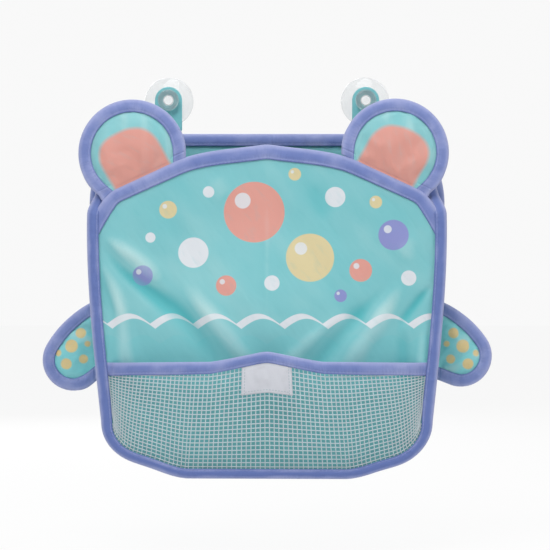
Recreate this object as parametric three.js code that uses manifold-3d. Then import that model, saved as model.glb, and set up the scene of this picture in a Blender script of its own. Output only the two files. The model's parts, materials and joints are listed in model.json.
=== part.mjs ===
// Bath toy organizer: a bound fabric bag that hangs on a wall by two suction cups, with a net
// pocket on its front, two padded ears over its mouth and two padded arms at its sides.
// Millimetres. Pieces are drawn as a tailor sees them: x to the right, y up, z out from the wall.
// The outer group turns that into +Z up. The origin lies on the wall, midway between the cups.

import * as THREE from 'three';
import { mergeVertices } from 'three/addons/utils/BufferGeometryUtils.js';
import manifoldModule from 'manifold-3d';

// Cloth, tape and clearance
const CLEARANCE = 0.3;
const PANEL_CLOTH = 1.2;
const GUSSET_CLOTH = 0.8;
const NET_CLOTH = 0.8;
const LABEL_CLOTH = 0.6;
const TAPE = 0.8;
const TAPE_WIDTH = 10;
const FOLD_STEPS = 4;
const WELD = 1e-4;

// Bag front: half width at the shoulders, and how far it draws in to the bottom corners
const BAG_HALF_WIDTH = 141.5;
const SIDE_TAPER = 10.5;
const SHOULDER_DROP = 84;
const SIDE_HEIGHT = 174;
const CORNER_HEIGHT = 45;
const CORNER_WIDTH = 68;
const CORNER_STEPS = 6;

// Arched mouth: rise above the shoulders, and where the straight flanks meet the crown
const MOUTH_RISE = 42.5;
const KNEE_HALF_WIDTH = 50;
const KNEE_RUN = 22;
const KNEE_STEPS = 6;

// Belly of the front panel, an oval swelling between the bindings
const BELLY_SWELL = 12;
const BELLY_MARGIN = 2;
const BELLY_HALF_HEIGHT = 105;
const BELLY_DROP = 180;
const PANEL_COLUMNS = 20;
const PANEL_ROWS = 11;

// Back panel: how far its edge shows outside the front's, and half its straight top edge
const SIDE_REVEAL = 2.5;
const BOTTOM_REVEAL = 4;
const BACK_TOP_HALF = 104;

// Gussets, from the back panel's face to the front panel's, and the drain's open work
const GUSSET_DEPTH = 46;
const DRAIN_COLUMNS = 14;
const DRAIN_ROWS = 2;

// Net pocket
const POCKET_HEIGHT = 92;
const POCKET_PEAK = 5;
const POCKET_SWELL = 38;
const POCKET_FULLNESS = 0.75;
const NET_COLUMNS = 21;
const NET_ROWS = 8;
const NET_STRAND = 1.6;
const TAPE_END_SHARE = 0.25;

// Care label on the net, under its binding
const LABEL_WIDTH = 38;
const LABEL_HEIGHT = 20;
const LABEL_COLUMNS = 4;
const LABEL_ROWS = 4;

// Ears and arms: two cloths over a foam core, bound round the edge and sewn on along a straight base
const PAD_CLOTH = 0.8;
const PAD_TAPE_START = 2.4;
const PAD_ROWS = 4;
const FOAM_ROWS = 3;
const PAD_STEP = 14;
const FOAM_MARGIN = 4;
const FOAM_BASE = 9;
const FOAM_EASE = 0.4;
const CROWN_RUN = 20;
const EAR_RADIUS = 42.5;
const EAR_CENTRE_RISE = 19.5;
const EAR_CROWN = 3.6;
const LEFT_EAR_ALONG = 48;
const RIGHT_EAR_ALONG = 53;
const ARM_RADIUS = 25;
const ARM_REACH = 19.5;
const ARM_SAG = 7.5;
const ARM_HALF_BASE = 32.5;
const ARM_DROP = 116;
const ARM_CROWN = 3;
const PAD_ARC_STEPS = 7;

// Suction cups and the webbing tabs that they button through
const CUP_SPACING = 160;
const CUP_RADIUS = 20;
const CUP_RIM = 2.5;
const CUP_LIP = 1;
const CUP_HEIGHT = 12;
const CUP_HOLLOW = 6;
const CUP_SHOULDER = 7;
const HOLLOW_CURVE = [[0.4, 0.85], [0.7, 0.45]];
const BELL_CURVE = [[0.8, 0.45], [0.55, 0.8]];
const NECK_RADIUS = 3.6;
const KNOB_RADIUS = 8.5;
const KNOB_HEIGHT = 7;
const KNOB_EDGE = 1;
const CUP_SIDES = 18;
const TAB_WIDTH = 22;
const TAB_CLOTH = 1.6;
const TAB_REACH = 26;
const TAB_HOLE_CLEARANCE = 0.6;
const TAB_ARC_STEPS = 10;
const TAB_ROLL_STEPS = 6;

const wasm = await manifoldModule();
wasm.setup();

// Heights, y up from the cup axes
const shoulderY = -SHOULDER_DROP;
const cornerY = shoulderY - SIDE_HEIGHT;
const crownY = shoulderY + MOUTH_RISE;
const lowHalfWidth = BAG_HALF_WIDTH - SIDE_TAPER;

// A seam is the folded tape over an edge: the room inside the fold, and how far in the cloth starts
function seam(clothThickness, layers) {
  const room = clothThickness + (layers + 1) * CLEARANCE;
  const half = room / 2 + TAPE;
  return { room, half, inset: half + CLEARANCE };
}
const backSeam = seam(PANEL_CLOTH + GUSSET_CLOTH, 2);
const frontSeam = seam(GUSSET_CLOTH + PANEL_CLOTH + NET_CLOTH, 3);
const mouthSeam = seam(PANEL_CLOTH, 1);
const pocketSeam = seam(NET_CLOTH, 1);
const padSeam = seam(2 * PAD_CLOTH + CLEARANCE, 1);

// Depths, z out from the wall, each layer one clearance in front of the last
const tabMid = CUP_HEIGHT + CLEARANCE + TAB_CLOTH / 2;
const backFace = tabMid + PANEL_CLOTH / 2;
const gussetBack = backFace + CLEARANCE;
const gussetFront = gussetBack + GUSSET_DEPTH;
const frontBack = gussetFront + CLEARANCE;
const frontFace = frontBack + PANEL_CLOTH;
const netBack = frontFace + CLEARANCE;
const backSeamMid = tabMid - PANEL_CLOTH / 2 - CLEARANCE + backSeam.room / 2;
const frontSeamMid = gussetFront - GUSSET_CLOTH - CLEARANCE + frontSeam.room / 2;
const mouthSeamMid = (frontBack + frontFace) / 2;

// Half thickness of a pad at its sewn base, which rolls about the seam
const padHalf = PAD_CLOTH + CLEARANCE / 2;

const FINISHES = {
  aqua: { color: 0x7dc3c9, roughness: 0.55, metalness: 0 },
  tape: { color: 0x7a8bc0, roughness: 0.6, metalness: 0 },
  net: { color: 0xd8ecef, roughness: 0.7, metalness: 0 },
  label: { color: 0xd6d8e0, roughness: 0.75, metalness: 0 },
  foam: { color: 0xe8e4d4, roughness: 0.95, metalness: 0 },
  webbing: { color: 0x7cc2c8, roughness: 0.7, metalness: 0 },
  clear: { color: 0xeef1f2, roughness: 0.15, metalness: 0 },
};

function piece(name, finish, geometry) {
  const mesh = new THREE.Mesh(geometry, new THREE.MeshStandardMaterial(FINISHES[finish]));
  mesh.name = name;
  return mesh;
}

// Closed solid from points and triangles: welded, with collapsed faces dropped, facing outwards
function closedSolid(points, triangles) {
  const raw = new THREE.BufferGeometry();
  raw.setAttribute('position', new THREE.Float32BufferAttribute(points.flatMap((p) => p.toArray()), 3));
  raw.setIndex(triangles);
  const welded = mergeVertices(raw, WELD);
  const corner = (k) => new THREE.Vector3().fromBufferAttribute(welded.attributes.position, k);
  const kept = [];
  let volume = 0;
  for (let k = 0; k < welded.index.count; k += 3) {
    const [a, b, c] = [0, 1, 2].map((step) => welded.index.getX(k + step));
    if (a === b || b === c || c === a) continue;
    kept.push(a, b, c);
    volume += corner(a).dot(corner(b).cross(corner(c)));
  }
  welded.setIndex(volume < 0 ? kept.reverse() : kept);
  welded.computeVertexNormals();
  return welded;
}

function mirrored(geometry) {
  const points = [];
  for (let k = 0; k < geometry.attributes.position.count; k += 1) {
    const point = new THREE.Vector3().fromBufferAttribute(geometry.attributes.position, k);
    points.push(point.setX(-point.x));
  }
  return closedSolid(points, [...geometry.index.array]);
}

// Rings of one section joined in turn: an open run has its section as end caps, a closed one none
function loft(rings, section, closed = false) {
  const count = section.length;
  const triangles = [];
  const spans = closed ? rings.length : rings.length - 1;
  for (let k = 0; k < spans; k += 1) {
    const near = k * count;
    const far = ((k + 1) % rings.length) * count;
    for (let i = 0; i < count; i += 1) {
      const j = (i + 1) % count;
      triangles.push(near + i, near + j, far + i, near + j, far + j, far + i);
    }
  }
  if (!closed) {
    const last = (rings.length - 1) * count;
    const clockwise = THREE.ShapeUtils.isClockWise(section);
    for (const [a, b, c] of THREE.ShapeUtils.triangulateShape(section, [])) {
      const [p, q] = clockwise ? [b, c] : [c, b];
      triangles.push(a, p, q, last + a, last + q, last + p);
    }
  }
  return closedSolid(rings.flat(), triangles);
}

// Cloth between two faces, on a grid of columns and rows, with open cells where isHole says so
function cloth(columns, rows, place, isHole = () => false) {
  const faceSize = columns * rows;
  const points = [];
  for (const face of [1, 0]) {
    for (let i = 0; i < columns; i += 1) {
      for (let j = 0; j < rows; j += 1) points.push(place(i, j, face));
    }
  }
  const at = (i, j) => i * rows + j;
  const triangles = [];
  const wall = (p, q) => {
    triangles.push(p, p + faceSize, q + faceSize, p, q + faceSize, q);
  };
  for (let i = 0; i < columns - 1; i += 1) {
    for (let j = 0; j < rows - 1; j += 1) {
      const [a, b, c, d] = [at(i, j), at(i + 1, j), at(i + 1, j + 1), at(i, j + 1)];
      if (isHole(i, j)) {
        [[b, a], [c, b], [d, c], [a, d]].forEach(([p, q]) => wall(p, q));
        continue;
      }
      triangles.push(a, b, c, a, c, d);
      for (const k of [a, c, b, a, d, c]) triangles.push(k + faceSize);
    }
  }
  for (let i = 0; i < columns - 1; i += 1) {
    wall(at(i, 0), at(i + 1, 0));
    wall(at(i + 1, rows - 1), at(i, rows - 1));
  }
  for (let j = 0; j < rows - 1; j += 1) {
    wall(at(columns - 1, j), at(columns - 1, j + 1));
    wall(at(0, j + 1), at(0, j));
  }
  return closedSolid(points, triangles);
}

// Stations along an edge that runs counter-clockwise round the cloth, so inwards is to its left
function edgeStations(path, steps, maxStep = Infinity, closed = false) {
  const corners = path.getPoints(steps).filter((p, k, all) => k === 0 || p.distanceTo(all[k - 1]) > WELD);
  if (closed && corners[0].distanceTo(corners.at(-1)) < WELD) corners.pop();
  const points = [];
  corners.forEach((corner, k) => {
    points.push(corner);
    const next = corners[k + 1];
    const parts = next ? Math.ceil(corner.distanceTo(next) / maxStep) : 0;
    for (let part = 1; part < parts; part += 1) points.push(corner.clone().lerp(next, part / parts));
  });
  const direction = (from, to) => to.clone().sub(from).normalize();
  return points.map((point, k) => {
    const before = points[k - 1] ?? (closed ? points.at(-1) : null);
    const after = points[k + 1] ?? (closed ? points[0] : null);
    const ahead = after ? direction(point, after) : direction(before, point);
    const behind = before ? direction(before, point) : ahead;
    const along = ahead.clone().add(behind).normalize();
    const inward = new THREE.Vector2(-along.y, along.x);
    return { point, along, inward: inward.divideScalar(along.dot(ahead)), cut: null };
  });
}

// A point at a distance in from the edge; a cut end slides it along the edge to its cutting line
function inFrom(station, distance) {
  const spot = station.point.clone().addScaledVector(station.inward, distance);
  if (!station.cut) return spot;
  const { through, normal } = station.cut;
  const slide = through.clone().sub(spot).dot(normal) / station.along.dot(normal);
  return spot.addScaledVector(station.along, slide);
}

function cutEnds(stations, first, last) {
  return stations.map((station, k) => {
    if (k === 0) return { ...station, cut: first };
    return k === stations.length - 1 ? { ...station, cut: last } : station;
  });
}

const levelCut = (y) => ({ through: new THREE.Vector2(0, y), normal: new THREE.Vector2(0, 1) });
const plumbCut = (x) => ({ through: new THREE.Vector2(x, 0), normal: new THREE.Vector2(1, 0) });

// Least distance from a spot to a line of points
function distanceTo(line, spot) {
  return Math.min(...line.slice(1).map((end, k) => {
    const span = end.clone().sub(line[k]);
    const share = THREE.MathUtils.clamp(spot.clone().sub(line[k]).dot(span) / span.lengthSq(), 0, 1);
    return span.multiplyScalar(share).add(line[k]).distanceTo(spot);
  }));
}

// Rise from 0 to 1 that starts steep and ends level
const ease = (share) => 1 - (1 - THREE.MathUtils.clamp(share, 0, 1)) ** 2;

// Section of the folded tape: x in from the fold, y across the cloth
function tapeSection({ room, half }) {
  const section = [new THREE.Vector2(TAPE_WIDTH, half)];
  for (let k = 0; k <= FOLD_STEPS; k += 1) {
    const angle = Math.PI / 2 + (Math.PI * k) / FOLD_STEPS;
    section.push(new THREE.Vector2(half + half * Math.cos(angle), half * Math.sin(angle)));
  }
  section.push(new THREE.Vector2(TAPE_WIDTH, -half), new THREE.Vector2(TAPE_WIDTH, -room / 2));
  section.push(new THREE.Vector2(half, -room / 2), new THREE.Vector2(half, room / 2));
  section.push(new THREE.Vector2(TAPE_WIDTH, room / 2));
  return section;
}

function binding(stations, tape, depth, closed = false) {
  const section = tapeSection(tape);
  const rings = stations.map((station) => section.map((q) => {
    const spot = inFrom(station, q.x);
    return new THREE.Vector3(spot.x, spot.y, depth + q.y);
  }));
  return loft(rings, section, closed);
}

// Bottom edge with its two oval corners, and the whole U-shaped edge, grown outwards by a reveal
function addFloor(path, side, bottom) {
  const low = lowHalfWidth + side;
  const height = CORNER_HEIGHT + bottom;
  path.absellipse(CORNER_WIDTH - low, cornerY, CORNER_WIDTH, height, Math.PI, 1.5 * Math.PI, false, 0);
  path.absellipse(low - CORNER_WIDTH, cornerY, CORNER_WIDTH, height, 1.5 * Math.PI, 2 * Math.PI, false, 0);
  return path;
}

function floorEdge(side, bottom) {
  return addFloor(new THREE.Path(), side, bottom);
}

function bagEdge(side, bottom) {
  const path = new THREE.Path();
  path.moveTo(-BAG_HALF_WIDTH - side, shoulderY);
  path.lineTo(-lowHalfWidth - side, cornerY);
  addFloor(path, side, bottom);
  path.lineTo(BAG_HALF_WIDTH + side, shoulderY);
  return path;
}

// Mouth edge, from the right shoulder up the straight flank, over the crown and down again
const flankRun = BAG_HALF_WIDTH - KNEE_HALF_WIDTH;
const flankSlope = MOUTH_RISE / flankRun;
const flankAngle = Math.atan(flankSlope);
function mouthEdge() {
  const kneeX = KNEE_HALF_WIDTH + KNEE_RUN;
  const kneeY = crownY - KNEE_RUN * flankSlope;
  const path = new THREE.Path();
  path.moveTo(BAG_HALF_WIDTH, shoulderY);
  path.lineTo(kneeX, kneeY);
  path.quadraticCurveTo(KNEE_HALF_WIDTH, crownY, 0, crownY);
  path.quadraticCurveTo(-KNEE_HALF_WIDTH, crownY, -kneeX, kneeY);
  path.lineTo(-BAG_HALF_WIDTH, shoulderY);
  return path;
}

// Straight flank line under the mouth tape, where the side tape and the gussets may start
const mouthTapeDrop = (TAPE_WIDTH + CLEARANCE) / Math.cos(flankAngle);
function underMouthTape(sign) {
  return {
    through: new THREE.Vector2(sign * BAG_HALF_WIDTH, shoulderY - mouthTapeDrop),
    normal: new THREE.Vector2(sign * Math.sin(flankAngle), Math.cos(flankAngle)),
  };
}

// Point at a share of an edge's length, a distance in from it
function edgePoint(path, share, distance) {
  const along = path.getTangent(share);
  return path.getPoint(share).addScaledVector(new THREE.Vector2(-along.y, along.x), distance);
}

const panelRoom = lowHalfWidth - TAPE_WIDTH - BELLY_MARGIN;
function belly(x, y) {
  const across = x / panelRoom;
  const down = (y + BELLY_DROP) / BELLY_HALF_HEIGHT;
  return BELLY_SWELL * Math.max(0, 1 - across * across - down * down) ** 2;
}

function makeBackPanel() {
  const edge = edgeStations(backEdge(), CORNER_STEPS, Infinity, true);
  const shape = new THREE.Shape(edge.map((station) => inFrom(station, backSeam.inset)));
  const panel = new THREE.ExtrudeGeometry(shape, { depth: PANEL_CLOTH, bevelEnabled: false });
  return panel.translate(0, 0, backFace - PANEL_CLOTH);
}

// Whole edge of the back panel: the bag's U, and oval shoulders up to the straight top
const backTopY = -TAB_REACH - TAB_CLOTH / 2 - CLEARANCE;
function backEdge() {
  const path = bagEdge(SIDE_REVEAL, BOTTOM_REVEAL);
  const shoulderWidth = BAG_HALF_WIDTH + SIDE_REVEAL - BACK_TOP_HALF;
  const height = backTopY - shoulderY;
  path.absellipse(BACK_TOP_HALF, shoulderY, shoulderWidth, height, 0, Math.PI / 2, false, 0);
  path.absellipse(-BACK_TOP_HALF, shoulderY, shoulderWidth, height, Math.PI / 2, Math.PI, false, 0);
  return path;
}

function makeFrontPanel() {
  const floor = floorEdge(0, 0);
  const top = edgeStations(mouthEdge(), KNEE_STEPS);
  const sideX = BAG_HALF_WIDTH - frontSeam.inset;
  const mouth = cutEnds(top, plumbCut(sideX), plumbCut(-sideX)).reverse();
  const mouthLine = new THREE.Path(mouth.map((station) => inFrom(station, mouthSeam.inset)));
  return cloth(PANEL_COLUMNS + 1, PANEL_ROWS + 1, (i, j, face) => {
    const share = i / PANEL_COLUMNS;
    const low = edgePoint(floor, share, frontSeam.inset);
    const spot = low.lerp(mouthLine.getPoint(share), j / PANEL_ROWS);
    return new THREE.Vector3(spot.x, spot.y, frontBack + face * PANEL_CLOTH + belly(spot.x, spot.y));
  });
}

// Gusset wall with a flange at each end, which lie in the front and back tapes
const webInset = TAPE_WIDTH + CLEARANCE;
function gusset(frontStations, backStations, webRows, isHole) {
  const rows = webRows + 3;
  return cloth(frontStations.length, rows, (i, j, face) => {
    const outer = [frontSeam.inset, backSeam.inset];
    const isFlange = j === 0 || j === rows - 1;
    const share = Math.min(Math.max((j - 1) / webRows, 0), 1);
    const inset = webInset + (1 - face) * GUSSET_CLOTH;
    const front = inFrom(frontStations[i], isFlange ? outer[0] : inset);
    const back = inFrom(backStations[i], isFlange ? outer[1] : inset);
    const spot = front.lerp(back, share);
    const frontDepth = gussetFront - face * GUSSET_CLOTH;
    const backDepth = gussetBack + face * GUSSET_CLOTH;
    return new THREE.Vector3(spot.x, spot.y, THREE.MathUtils.lerp(frontDepth, backDepth, share));
  }, isHole);
}

function makeSideGusset() {
  const hem = shoulderY - mouthTapeDrop - CLEARANCE;
  const [front, back] = [0, SIDE_REVEAL].map((reveal) => {
    const path = new THREE.Path();
    path.moveTo(-BAG_HALF_WIDTH - reveal, shoulderY);
    path.lineTo(-lowHalfWidth - reveal, cornerY);
    return cutEnds(edgeStations(path, 1), levelCut(hem), levelCut(cornerY + CLEARANCE));
  });
  return gusset(front, back, 1);
}

function makeDrainGusset() {
  const spans = 2 * DRAIN_COLUMNS + 1;
  const webRows = 2 * DRAIN_ROWS + 1;
  const [front, back] = [[0, 0], [SIDE_REVEAL, BOTTOM_REVEAL]].map(([side, bottom]) => {
    const line = new THREE.Path(floorEdge(side, bottom).getSpacedPoints(spans));
    return cutEnds(edgeStations(line, 1), levelCut(cornerY), levelCut(cornerY));
  });
  const isHole = (i, j) => i % 2 === 1 && j % 2 === 0 && j > 0 && j <= webRows;
  return gusset(front, back, webRows, isHole);
}

// Net pocket: shares of its width and height at both edges of every strand, hems included
const pocketTopY = cornerY - CORNER_HEIGHT + POCKET_HEIGHT;
const pocketSide = BAG_HALF_WIDTH - SIDE_TAPER * ((shoulderY - pocketTopY) / SIDE_HEIGHT) - frontSeam.inset;
function strandEdges(length, count, startHem, endHem) {
  const edges = [0, startHem / length];
  const step = (1 - (startHem + endHem) / length) / count;
  for (let k = 1; k < count; k += 1) {
    const middle = edges[1] + k * step;
    edges.push(middle - NET_STRAND / 2 / length, middle + NET_STRAND / 2 / length);
  }
  edges.push(1 - endHem / length, 1);
  return edges;
}
const sideHem = TAPE_WIDTH + CLEARANCE - frontSeam.inset;
const topHem = TAPE_WIDTH + CLEARANCE - pocketSeam.inset;
const netHeight = POCKET_HEIGHT - frontSeam.inset - pocketSeam.inset;
const netAcross = strandEdges(2 * pocketSide, NET_COLUMNS, sideHem, sideHem);
const netUp = strandEdges(netHeight, NET_ROWS, sideHem, topHem);

// Shares of the net inside its hems, and how far it swells there: nothing in the hems
const insideAcross = (across) => (across - netAcross[1]) / (1 - 2 * netAcross[1]);
const insideUp = (up) => (up - netUp[1]) / (1 - netUp[1]);
function netSwell(across, up) {
  const fromSide = THREE.MathUtils.clamp(insideAcross(across), 0, 1);
  return POCKET_SWELL * (4 * fromSide * (1 - fromSide)) ** POCKET_FULLNESS * ease(insideUp(up));
}

const pocketFloor = floorEdge(0, 0);
const pocketTop = new THREE.QuadraticBezierCurve(
  new THREE.Vector2(-pocketSide, pocketTopY - pocketSeam.inset),
  new THREE.Vector2(0, pocketTopY - pocketSeam.inset + POCKET_PEAK),
  new THREE.Vector2(pocketSide, pocketTopY - pocketSeam.inset),
);
function netPoint(across, up, depth) {
  const high = pocketTop.getPoint(across);
  const spot = edgePoint(pocketFloor, across, frontSeam.inset);
  if (across <= 0 || across >= 1) {
    spot.lerp(high, up);
  } else {
    spot.lerp(edgePoint(pocketFloor, across, TAPE_WIDTH + CLEARANCE), Math.min(up / netUp[1], 1));
    spot.lerp(high, Math.max(insideUp(up), 0));
  }
  return new THREE.Vector3(spot.x, spot.y, netBack + depth + netSwell(across, up));
}

function makeNet() {
  const isHole = (i, j) => i % 2 === 1 && j % 2 === 1;
  const place = (i, j, face) => netPoint(netAcross[i], netUp[j], face * NET_CLOTH);
  return cloth(netAcross.length, netUp.length, place, isHole);
}

function makePocketBinding() {
  const section = tapeSection(pocketSeam);
  const ring = (across) => section.map((q) => {
    const up = 1 - (q.x - pocketSeam.inset) / netHeight;
    return netPoint(across, up, NET_CLOTH / 2 + q.y);
  });
  const spots = netAcross.slice(1, -1);
  const rings = spots.filter((_, k) => k % 2 === 1 || k === 0 || k >= spots.length - 2).map(ring);
  const shortened = (end, next) => end.map((p, k) => p.clone().lerp(next[k], TAPE_END_SHARE));
  rings[0] = shortened(rings[0], rings[1]);
  rings[rings.length - 1] = shortened(rings.at(-1), rings.at(-2));
  return loft(rings, section);
}

function makeLabel() {
  const top = 1 - topHem / netHeight;
  return cloth(LABEL_COLUMNS + 1, LABEL_ROWS + 1, (i, j, face) => {
    const across = 0.5 + (LABEL_WIDTH / (2 * pocketSide)) * (i / LABEL_COLUMNS - 0.5);
    const up = top - (LABEL_HEIGHT / netHeight) * (1 - j / LABEL_ROWS);
    return netPoint(across, up, NET_CLOTH + CLEARANCE + face * LABEL_CLOTH);
  });
}

// Ears and arms. Their edge is drawn from the right end of the base round to the left end,
// with the base on y = 0, where the pad rolls about its seam, and z across the pad.
function earEdge() {
  const start = -Math.asin(EAR_CENTRE_RISE / EAR_RADIUS);
  const path = new THREE.Path();
  path.absarc(0, EAR_CENTRE_RISE, EAR_RADIUS, start, Math.PI - start, false);
  return path;
}

function armEdge(sag) {
  const centre = new THREE.Vector2(sag, ARM_REACH);
  const tangentAngle = (baseX, turn) => {
    const span = new THREE.Vector2(baseX, 0).sub(centre);
    return span.angle() + turn * Math.acos(ARM_RADIUS / span.length());
  };
  const start = tangentAngle(ARM_HALF_BASE, 1);
  const end = tangentAngle(-ARM_HALF_BASE, -1);
  const path = new THREE.Path();
  path.moveTo(ARM_HALF_BASE, 0);
  path.absarc(centre.x, centre.y, ARM_RADIUS, start, end, false);
  path.lineTo(-ARM_HALF_BASE, 0);
  return path;
}

function pad(name, edge, crownHeight) {
  const bound = edgeStations(edge, PAD_ARC_STEPS);
  const fine = edgeStations(edge, PAD_ARC_STEPS, PAD_STEP);
  const edgeLine = bound.map((station) => station.point);
  const crown = (spot) => {
    const fromTape = distanceTo(edgeLine, spot) - TAPE_WIDTH - CLEARANCE;
    return crownHeight * ease(fromTape / CROWN_RUN) * ease(spot.y / CROWN_RUN);
  };

  // Grid between the base at a level and the edge at an inset
  const rimLine = (stations, inset, level) => (
    cutEnds(stations, levelCut(level), levelCut(level)).map((station) => inFrom(station, inset))
  );
  const grid = (rim, rows) => (i, j) => (
    rim[0].clone().lerp(rim.at(-1), i / (rim.length - 1)).lerp(rim[i], j / rows)
  );
  const faceCloth = (side) => {
    const rollDrop = Math.sqrt(padHalf ** 2 - (CLEARANCE / 2) ** 2);
    const levels = [-rollDrop, 0];
    const rims = levels.map((level) => rimLine(fine, padSeam.inset, level));
    const grids = levels.map((level) => grid(rimLine(fine, TAPE_WIDTH + CLEARANCE, level), PAD_ROWS));
    return cloth(fine.length, PAD_ROWS + 2, (i, j, face) => {
      const spot = j > PAD_ROWS ? rims[face][i] : grids[face](i, j);
      return new THREE.Vector3(spot.x, spot.y, side * (CLEARANCE / 2 + face * PAD_CLOTH + crown(spot)));
    });
  };
  const foamGrid = grid(rimLine(bound, TAPE_WIDTH + FOAM_MARGIN, FOAM_BASE), FOAM_ROWS);
  const foam = cloth(bound.length, FOAM_ROWS + 1, (i, j, face) => {
    const spot = foamGrid(i, j);
    return new THREE.Vector3(spot.x, spot.y, (2 * face - 1) * (crown(spot) - FOAM_EASE));
  });
  const tape = cutEnds(bound, levelCut(PAD_TAPE_START), levelCut(PAD_TAPE_START));
  const group = new THREE.Group();
  group.add(piece(`${name}_front`, 'aqua', faceCloth(1)));
  group.add(piece(`${name}_foam`, 'foam', foam));
  group.add(piece(`${name}_back`, 'aqua', faceCloth(-1)));
  group.add(piece(`${name}_binding`, 'tape', binding(tape, padSeam, 0)));
  return group;
}

// Ears stand on the straight flanks of the mouth tape, one clearance off it
function makeEar(side, sign, along) {
  const ear = pad(`${side}_ear`, earEdge(), EAR_CROWN);
  const lift = padHalf + CLEARANCE;
  const x = BAG_HALF_WIDTH - along * Math.cos(flankAngle) + lift * Math.sin(flankAngle);
  const y = shoulderY + along * Math.sin(flankAngle) + lift * Math.cos(flankAngle);
  ear.position.set(sign * x, y, mouthSeamMid);
  ear.rotation.z = -sign * flankAngle;
  return ear;
}

// Arms stand off the back tape at the bag's sides
const sideAngle = Math.atan(SIDE_TAPER / SIDE_HEIGHT);
function makeArm(side, sign) {
  const arm = pad(`${side}_arm`, armEdge(sign * ARM_SAG), ARM_CROWN);
  const lift = padHalf + CLEARANCE;
  const seamX = BAG_HALF_WIDTH + SIDE_REVEAL - SIDE_TAPER * (ARM_DROP / SIDE_HEIGHT);
  arm.position.set(sign * (seamX + lift / Math.cos(sideAngle)), shoulderY - ARM_DROP, backSeamMid);
  arm.rotation.z = -sign * (Math.PI / 2 + sideAngle);
  return arm;
}

// Boolean solids for the tabs
function manifold(geometry) {
  const bare = geometry.index ? geometry.toNonIndexed() : geometry;
  bare.deleteAttribute('normal');
  bare.deleteAttribute('uv');
  const welded = mergeVertices(bare, WELD);
  return new wasm.Manifold(new wasm.Mesh({
    numProp: 3,
    vertProperties: new Float32Array(welded.attributes.position.array),
    triVerts: new Uint32Array(welded.index.array),
  }));
}

function fromManifold(solid) {
  const mesh = solid.getMesh();
  const geometry = new THREE.BufferGeometry();
  geometry.setAttribute('position', new THREE.BufferAttribute(new Float32Array(mesh.vertProperties), 3));
  geometry.setIndex([...mesh.triVerts]);
  geometry.computeVertexNormals();
  return geometry;
}

// Webbing tab about its cup's axis: a strap with a rolled lower edge, a round end and a buttonhole
function makeTab() {
  const half = TAB_CLOTH / 2;
  const side = new THREE.Shape();
  side.moveTo(half, TAB_WIDTH / 2);
  side.lineTo(-half, TAB_WIDTH / 2);
  side.lineTo(-half, -TAB_REACH);
  side.absarc(0, -TAB_REACH, half, Math.PI, 2 * Math.PI, false);
  const strap = new THREE.ExtrudeGeometry(side, {
    depth: TAB_WIDTH, bevelEnabled: false, curveSegments: TAB_ROLL_STEPS,
  });
  strap.translate(0, 0, -TAB_WIDTH / 2).rotateY(Math.PI / 2);
  const outline = new THREE.Shape();
  outline.moveTo(-TAB_WIDTH / 2, -TAB_REACH - TAB_CLOTH);
  outline.lineTo(TAB_WIDTH / 2, -TAB_REACH - TAB_CLOTH);
  outline.absarc(0, 0, TAB_WIDTH / 2, 0, Math.PI, false);
  const hole = new THREE.Path();
  hole.absarc(0, 0, NECK_RADIUS + TAB_HOLE_CLEARANCE, 0, 2 * Math.PI, true);
  outline.holes.push(hole);
  const cutterDepth = 2 * TAB_CLOTH;
  const cutter = new THREE.ExtrudeGeometry(outline, {
    depth: cutterDepth, bevelEnabled: false, curveSegments: TAB_ARC_STEPS,
  });
  cutter.translate(0, 0, -cutterDepth / 2);
  return fromManifold(manifold(strap).intersect(manifold(cutter)));
}

// Suction cup turned about its axis, rim on the wall and knob outwards
function makeCup() {
  const neckEnd = CUP_HEIGHT + TAB_CLOTH + 2 * CLEARANCE;
  const knobEnd = neckEnd + KNOB_HEIGHT;
  const bent = (curve, height) => curve.map(([out, up]) => [CUP_RADIUS * out, height * up]);
  const profile = [
    [0, CUP_HOLLOW],
    ...bent(HOLLOW_CURVE, CUP_HOLLOW),
    [CUP_RADIUS - CUP_RIM, 0],
    [CUP_RADIUS, 0],
    [CUP_RADIUS, CUP_LIP],
    ...bent(BELL_CURVE, CUP_HEIGHT),
    [CUP_SHOULDER, CUP_HEIGHT],
    [NECK_RADIUS, CUP_HEIGHT],
    [NECK_RADIUS, neckEnd],
    [KNOB_RADIUS - KNOB_EDGE, neckEnd],
    [KNOB_RADIUS, neckEnd + KNOB_EDGE],
    [KNOB_RADIUS, knobEnd - KNOB_EDGE],
    [KNOB_RADIUS - KNOB_EDGE, knobEnd],
    [0, knobEnd],
  ].map(([radius, height]) => new THREE.Vector2(radius, height));
  const turned = new THREE.LatheGeometry(profile, CUP_SIDES).rotateX(Math.PI / 2);
  turned.deleteAttribute('normal');
  turned.deleteAttribute('uv');
  const points = [];
  for (let k = 0; k < turned.attributes.position.count; k += 1) {
    points.push(new THREE.Vector3().fromBufferAttribute(turned.attributes.position, k));
  }
  return closedSolid(points, [...turned.index.array]);
}

const bag = new THREE.Group();
bag.add(piece('back_panel', 'aqua', makeBackPanel()));
const wholeBackEdge = edgeStations(backEdge(), CORNER_STEPS, Infinity, true);
bag.add(piece('back_binding', 'tape', binding(wholeBackEdge, backSeam, backSeamMid, true)));
const leftGusset = makeSideGusset();
bag.add(piece('left_gusset', 'aqua', leftGusset));
bag.add(piece('right_gusset', 'aqua', mirrored(leftGusset)));
bag.add(piece('drain_gusset', 'net', makeDrainGusset()));
bag.add(piece('front_panel', 'aqua', makeFrontPanel()));
const frontEdge = edgeStations(bagEdge(0, 0), CORNER_STEPS);
const frontTape = cutEnds(frontEdge, underMouthTape(-1), underMouthTape(1));
bag.add(piece('front_binding', 'tape', binding(frontTape, frontSeam, frontSeamMid)));
const mouthStations = edgeStations(mouthEdge(), KNEE_STEPS);
const mouthTape = cutEnds(mouthStations, plumbCut(BAG_HALF_WIDTH), plumbCut(-BAG_HALF_WIDTH));
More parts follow.
